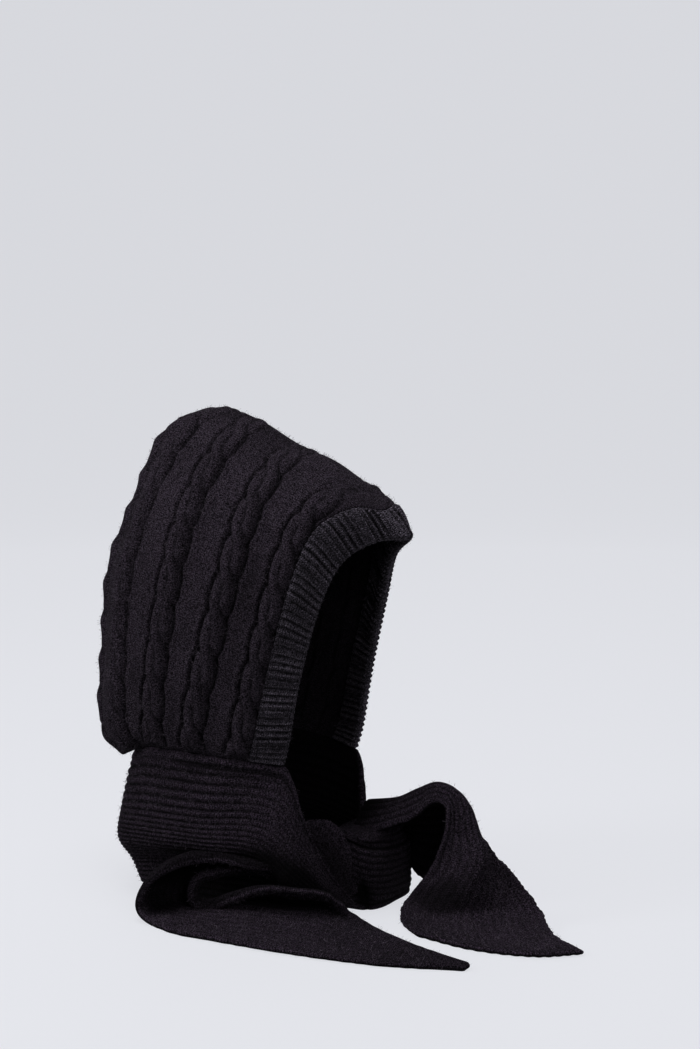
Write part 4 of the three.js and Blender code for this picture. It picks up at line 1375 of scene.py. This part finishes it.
@dataclass
class Knot:
    """The overhand knot: the wrapped scarf with a thin roll on top.

    Attributes:
        around: Points round each ring of its mesh.
        rings: How many rings there are, from the floor up.
        girth: How far the scarf runs round it, in millimetres.
        slant: How much lower the ribs run in front than behind.
        rib: The scarf's ribs.
    """

    around: int = 144
    rings: int = 91
    girth: float = 250.0
    slant: float = 8.0
    rib: RibRelief = field(default_factory=lambda: RibRelief(SCARF_RIB_PITCH, 2.0, 2.5))

    def build(self, finish: Material) -> Object:
        """The wrapped barrel as one closed piece, ribbed round."""
        wide, deep, high = KNOT_SIZE
        shares = np.linspace(0, 1, len(KNOT_RINGS))
        rings = through(np.array(KNOT_RINGS), shares, np.linspace(0, 1, self.rings))
        angle = np.linspace(0, 2 * np.pi, self.around, endpoint=False)
        square = 1 + 0.08 * np.cos(4 * angle - np.pi)
        up, out, front, w, d = (rings[:, k, None] for k in range(5))
        # Folds of the wrapped scarf: a pit beside the neck scarf, a tuck under the roll and at the
        # foot, and a fold that runs down across the wrap.
        forward = np.cos(angle - 1.1)
        pit = np.exp(-(((angle - 2.72) / 0.3) ** 2) - (((up - 0.22) / 0.13) ** 2))
        tuck = bump(up - 0.83 + 0.1 * forward, 0.0, 0.025)
        foot = bump(up, 0.085, 0.02)
        fold = bump(angle - 2.66 - 0.3 * (up - 0.4), 0.0, 0.07) * smooth((0.5 - up) / 0.15)
        sunk = 0.2 * pit + 0.07 * tuck + 0.05 * foot + 0.045 * fold
        ragged = 0.008 * np.sin(up * 61 + 2 * np.sin(up * 23)) * np.sin(angle * 3 + up * 9)
        swell = square * (1 - sunk + ragged)
        x = (out + w * np.cos(angle) * swell) * wide
        y = -(front + d * np.sin(angle) * swell) * deep
        points = np.stack(np.broadcast_arrays(x, y, up * high), axis=2)
        count = self.rings * self.around
        ids = np.arange(count).reshape(self.rings, self.around)
        after = np.roll(ids, -1, axis=1)
        sides = np.stack([ids[:-1], ids[1:], after[1:], after[:-1]], axis=-1).reshape(-1, 4)
        low = np.stack([np.full(self.around, count), ids[0], after[0]], axis=-1)
        top = np.stack([np.full(self.around, count + 1), after[-1], ids[-1]], axis=-1)
        ends = [points[0].mean(axis=0), points[-1].mean(axis=0)]
        everything = np.concatenate([points.reshape(-1, 3), ends])
        u = np.broadcast_to(angle / (2 * np.pi) * self.girth, ids.shape)
        v = np.broadcast_to(up * high + self.slant * forward, ids.shape)
        flat = np.concatenate([np.stack([u, v], axis=2).reshape(-1, 2), [[0, 0], [0, high]]])
        lift = 0.8 * np.broadcast_to(smooth(up * 8) * smooth((1 - up) * 6), ids.shape)
        # Painted shade: darker towards the bottom, darkest in the pit, the tucks, the foot and the
        # fold.
        shade = 0.2 + 0.25 * smooth((0.8 - up) / 0.8)
        dark = np.clip(shade + 0.8 * pit + 0.5 * (tuck + foot + fold), 0, 0.97)
        traits = {
            "lift": np.append(lift.ravel(), [0.0, 0.0]),
            "painted_shade": np.append(np.broadcast_to(dark, ids.shape).ravel(), [0.0, 0.0]),
        }
        piece = mesh_of("knot_wrap", everything, [sides, low, top], np.arange(count + 2), flat, traits)
        self.rib.work(piece, finish)
        settle(piece)
        return piece


# ---- Floor, lights and camera ----------------------------------------------------------------------


@dataclass
class Studio:
    """A pale floor and backdrop, soft lights and the camera of the photograph.

    Attributes:
        floor_colour: The floor's paint.
        glow: How brightly the sweep glows.
        focal_pixels: The lens's focal length, in pixels of the photograph.
        image_height: The photograph's height in pixels.
        horizon: How far the horizon lies above the photograph's middle, in pixels.
        bearing: Which way the camera looks, in degrees from +Y towards +X.
        place: Where it stands in the design frame, in millimetres.
        aim: What the lights look at, in metres.
        sensor: The width of the camera's sensor, in millimetres.
    """

    floor_colour: str = "#3f4042"
    glow: float = 0.775
    focal_pixels: float = 2100.0
    image_height: float = 1049.0
    horizon: float = 214.5
    bearing: float = 62.0
    place: tuple[float, float, float] = (-1721.3, -1022.8, 555.0)
    aim: tuple[float, float, float] = (0.0, 0.05, 0.22)
    sensor: float = 36.0

    def floor(self) -> Object:
        """A wide pale floor that turns up into a backdrop all round, so every side looks alike."""
        bend = np.linspace(0.0, math.pi / 2, 13)
        radii = np.concatenate([[0.5, 1.5], 3.0 + 1.5 * np.sin(bend), [4.5]])
        heights = np.concatenate([[0.0, 0.0], 1.5 * (1 - np.cos(bend)), [6.0]])
        around = 72
        turns = np.linspace(0.0, 2 * math.pi, around, endpoint=False)
        verts = [(0.0, 0.0, 0.0)]
        for radius, height in zip(radii, heights):
            verts += [(radius * math.cos(turn), radius * math.sin(turn), height) for turn in turns]
        faces = [(0, 1 + i, 1 + (i + 1) % around) for i in range(around)]
        for low in range(1, 1 + (len(radii) - 1) * around, around):
            for i, j in zip(range(around), [*range(1, around), 0]):
                faces.append((low + i, low + around + i, low + around + j, low + j))
        mesh = bpy.data.meshes.new("studio_floor")
        mesh.from_pydata(verts, [], faces)
        mesh.shade_smooth()
        material = bpy.data.materials.new("painted_studio_floor")
        material.use_nodes = True
        skin = material.node_tree.nodes["Principled BSDF"]
        skin.inputs["Base Color"].default_value = linear(self.floor_colour)
        skin.inputs["Roughness"].default_value = 0.8
        # A studio sweep is lit so evenly that it shows next to no shade: part of it glows.
        skin.inputs["Emission Color"].default_value = linear("#f1f2f7")
        skin.inputs["Emission Strength"].default_value = self.glow
        mesh.materials.append(material)
        floor = bpy.data.objects.new("studio_floor", mesh)
        bpy.context.scene.collection.objects.link(floor)
        # Flags keep the glow of the sweep off the black wool, so that its folds stay dark.
        floor.visible_diffuse = False
        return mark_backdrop(floor)

    def lights(self) -> None:
        """A key from above, one that grazes the hood from behind on the left, and a little fill."""
        for name, place, size, power in (
            ("top_softbox", (-0.3, 0.1, 2.4), 1.3, 45.0),
            ("back_left_softbox", (-1.3, 1.7, 1.4), 0.8, 38.0),
            ("front_left_softbox", (-1.7, -1.9, 1.3), 1.2, 22.0),
        ):
            data = bpy.data.lights.new(name, "AREA")
            data.shape, data.size, data.energy = "SQUARE", size, power
            lamp = bpy.data.objects.new(name, data)
            lamp.location = place
            ahead = Vector(self.aim) - Vector(place)
            lamp.rotation_euler = ahead.to_track_quat("-Z", "Y").to_euler()
            bpy.context.scene.collection.objects.link(lamp)
        world = bpy.data.worlds.new("pale_surround")
        world.use_nodes = True
        sky = world.node_tree.nodes["Background"]
        sky.inputs["Color"].default_value = linear("#f4f5f8")
        sky.inputs["Strength"].default_value = 0.3
        bpy.context.scene.world = world

    def camera(self) -> None:
        """The photograph's camera: 62 degrees round from the back of the hood, a little raised."""
        data = bpy.data.cameras.new("photo_camera")
        data.sensor_width = self.sensor
        data.lens = self.focal_pixels / self.image_height * self.sensor
        lens = bpy.data.objects.new("photo_camera", data)
        bearing, pitch = math.radians(self.bearing), math.atan(self.horizon / self.focal_pixels)
        lens.location = (Vector(self.place) + Vector(TO_ROW_FRAME)) * METRES
        ahead = Vector((math.sin(bearing), math.cos(bearing), -math.tan(pitch)))
        lens.rotation_euler = ahead.to_track_quat("-Z", "Y").to_euler()
        bpy.context.scene.collection.objects.link(lens)
        bpy.context.scene.camera = lens

    def build(self) -> None:
        """Everything round the hood."""
        self.floor()
        self.lights()
        self.camera()
        # The photograph is printed hard, with deep blacks.
        bpy.context.scene.view_settings.view_transform = "Standard"
        bpy.context.scene.view_settings.gamma = 0.85


# ---- The whole hood --------------------------------------------------------------------------------


@dataclass
class Sewing:
    """Hands each sheet on: attaches it to its body, hides the CAD node that it stands for and grows its
    fibres.

    Attributes:
        hair: The finish of the loose fibres.
    """

    hair: Material

    def hand_over(
        self,
        piece: Object,
        node_name: str,
        slot: Slot,
        flat: tuple[float, float],
        held: Held,
        rests_on: Sequence[str],
        fibres: LooseFibres,
    ) -> None:
        """Grows a sheet's loose fibres, attaches both to the root body and hides the CAD node.

        Args:
            piece: The finished sheet.
            node_name: The CAD node that it stands for.
            slot: Where its finish comes from; not used.
            flat: The size that it was cut to, in metres; not used.
            held: How it is held; not used.
            rests_on: What it lies on or hangs from.
            fibres: The hairs that grow on it.
        """
        hairs = fibres.grow(piece, self.hair)
        for one in (piece, hairs):
            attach(one, "root")
        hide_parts(node_name)
        list(rests_on)
        log.info("%s: %d faces", piece.name, len(piece.data.polygons))


def main() -> None:
    """Builds the hood in order and reports each piece."""
    logging.basicConfig(level=logging.INFO, format="%(name)s: %(message)s")
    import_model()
    Studio().build()
    dress = finishes()
    form = HoodForm()
    sewing = Sewing(fibre_wool())
    sheets = (
        (HoodShell(form), "hood", Slot.CABLE, (0.51, 0.37), Held.DRAPED, ["neck_scarf"], 40000.0),
        (FaceBand(form), "face_band", Slot.RIB, (0.035, 0.66), Held.DRAPED, ["hood"], 36000.0),
        (NeckScarf(form), "neck_scarf", Slot.SCARF, (0.165, 0.56), Held.GATHERED, [], 36000.0),
        (RIGHT_TIE, "right_tie", Slot.SCARF, (0.11, 0.4), Held.FOLDED, ["neck_scarf"], 40000.0),
        (LEFT_TIE, "left_tie", Slot.SCARF, (0.1, 0.4), Held.DRAPED, ["knot"], 36000.0),
    )
    for seed, (maker, node_name, slot, flat, held, rests_on, hairs) in enumerate(sheets, start=3):
        piece = maker.build(dress[slot])
        sewing.hand_over(piece, node_name, slot, flat, held, rests_on, LooseFibres(hairs, seed))
    loop = SMALL_LOOP.build(dress[Slot.SCARF])
    wrap = Knot().build(dress[Slot.SCARF])
    for one in (wrap, loop):
        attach(one, "root")
    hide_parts("knot")


if __name__ == "__main__":
    main()
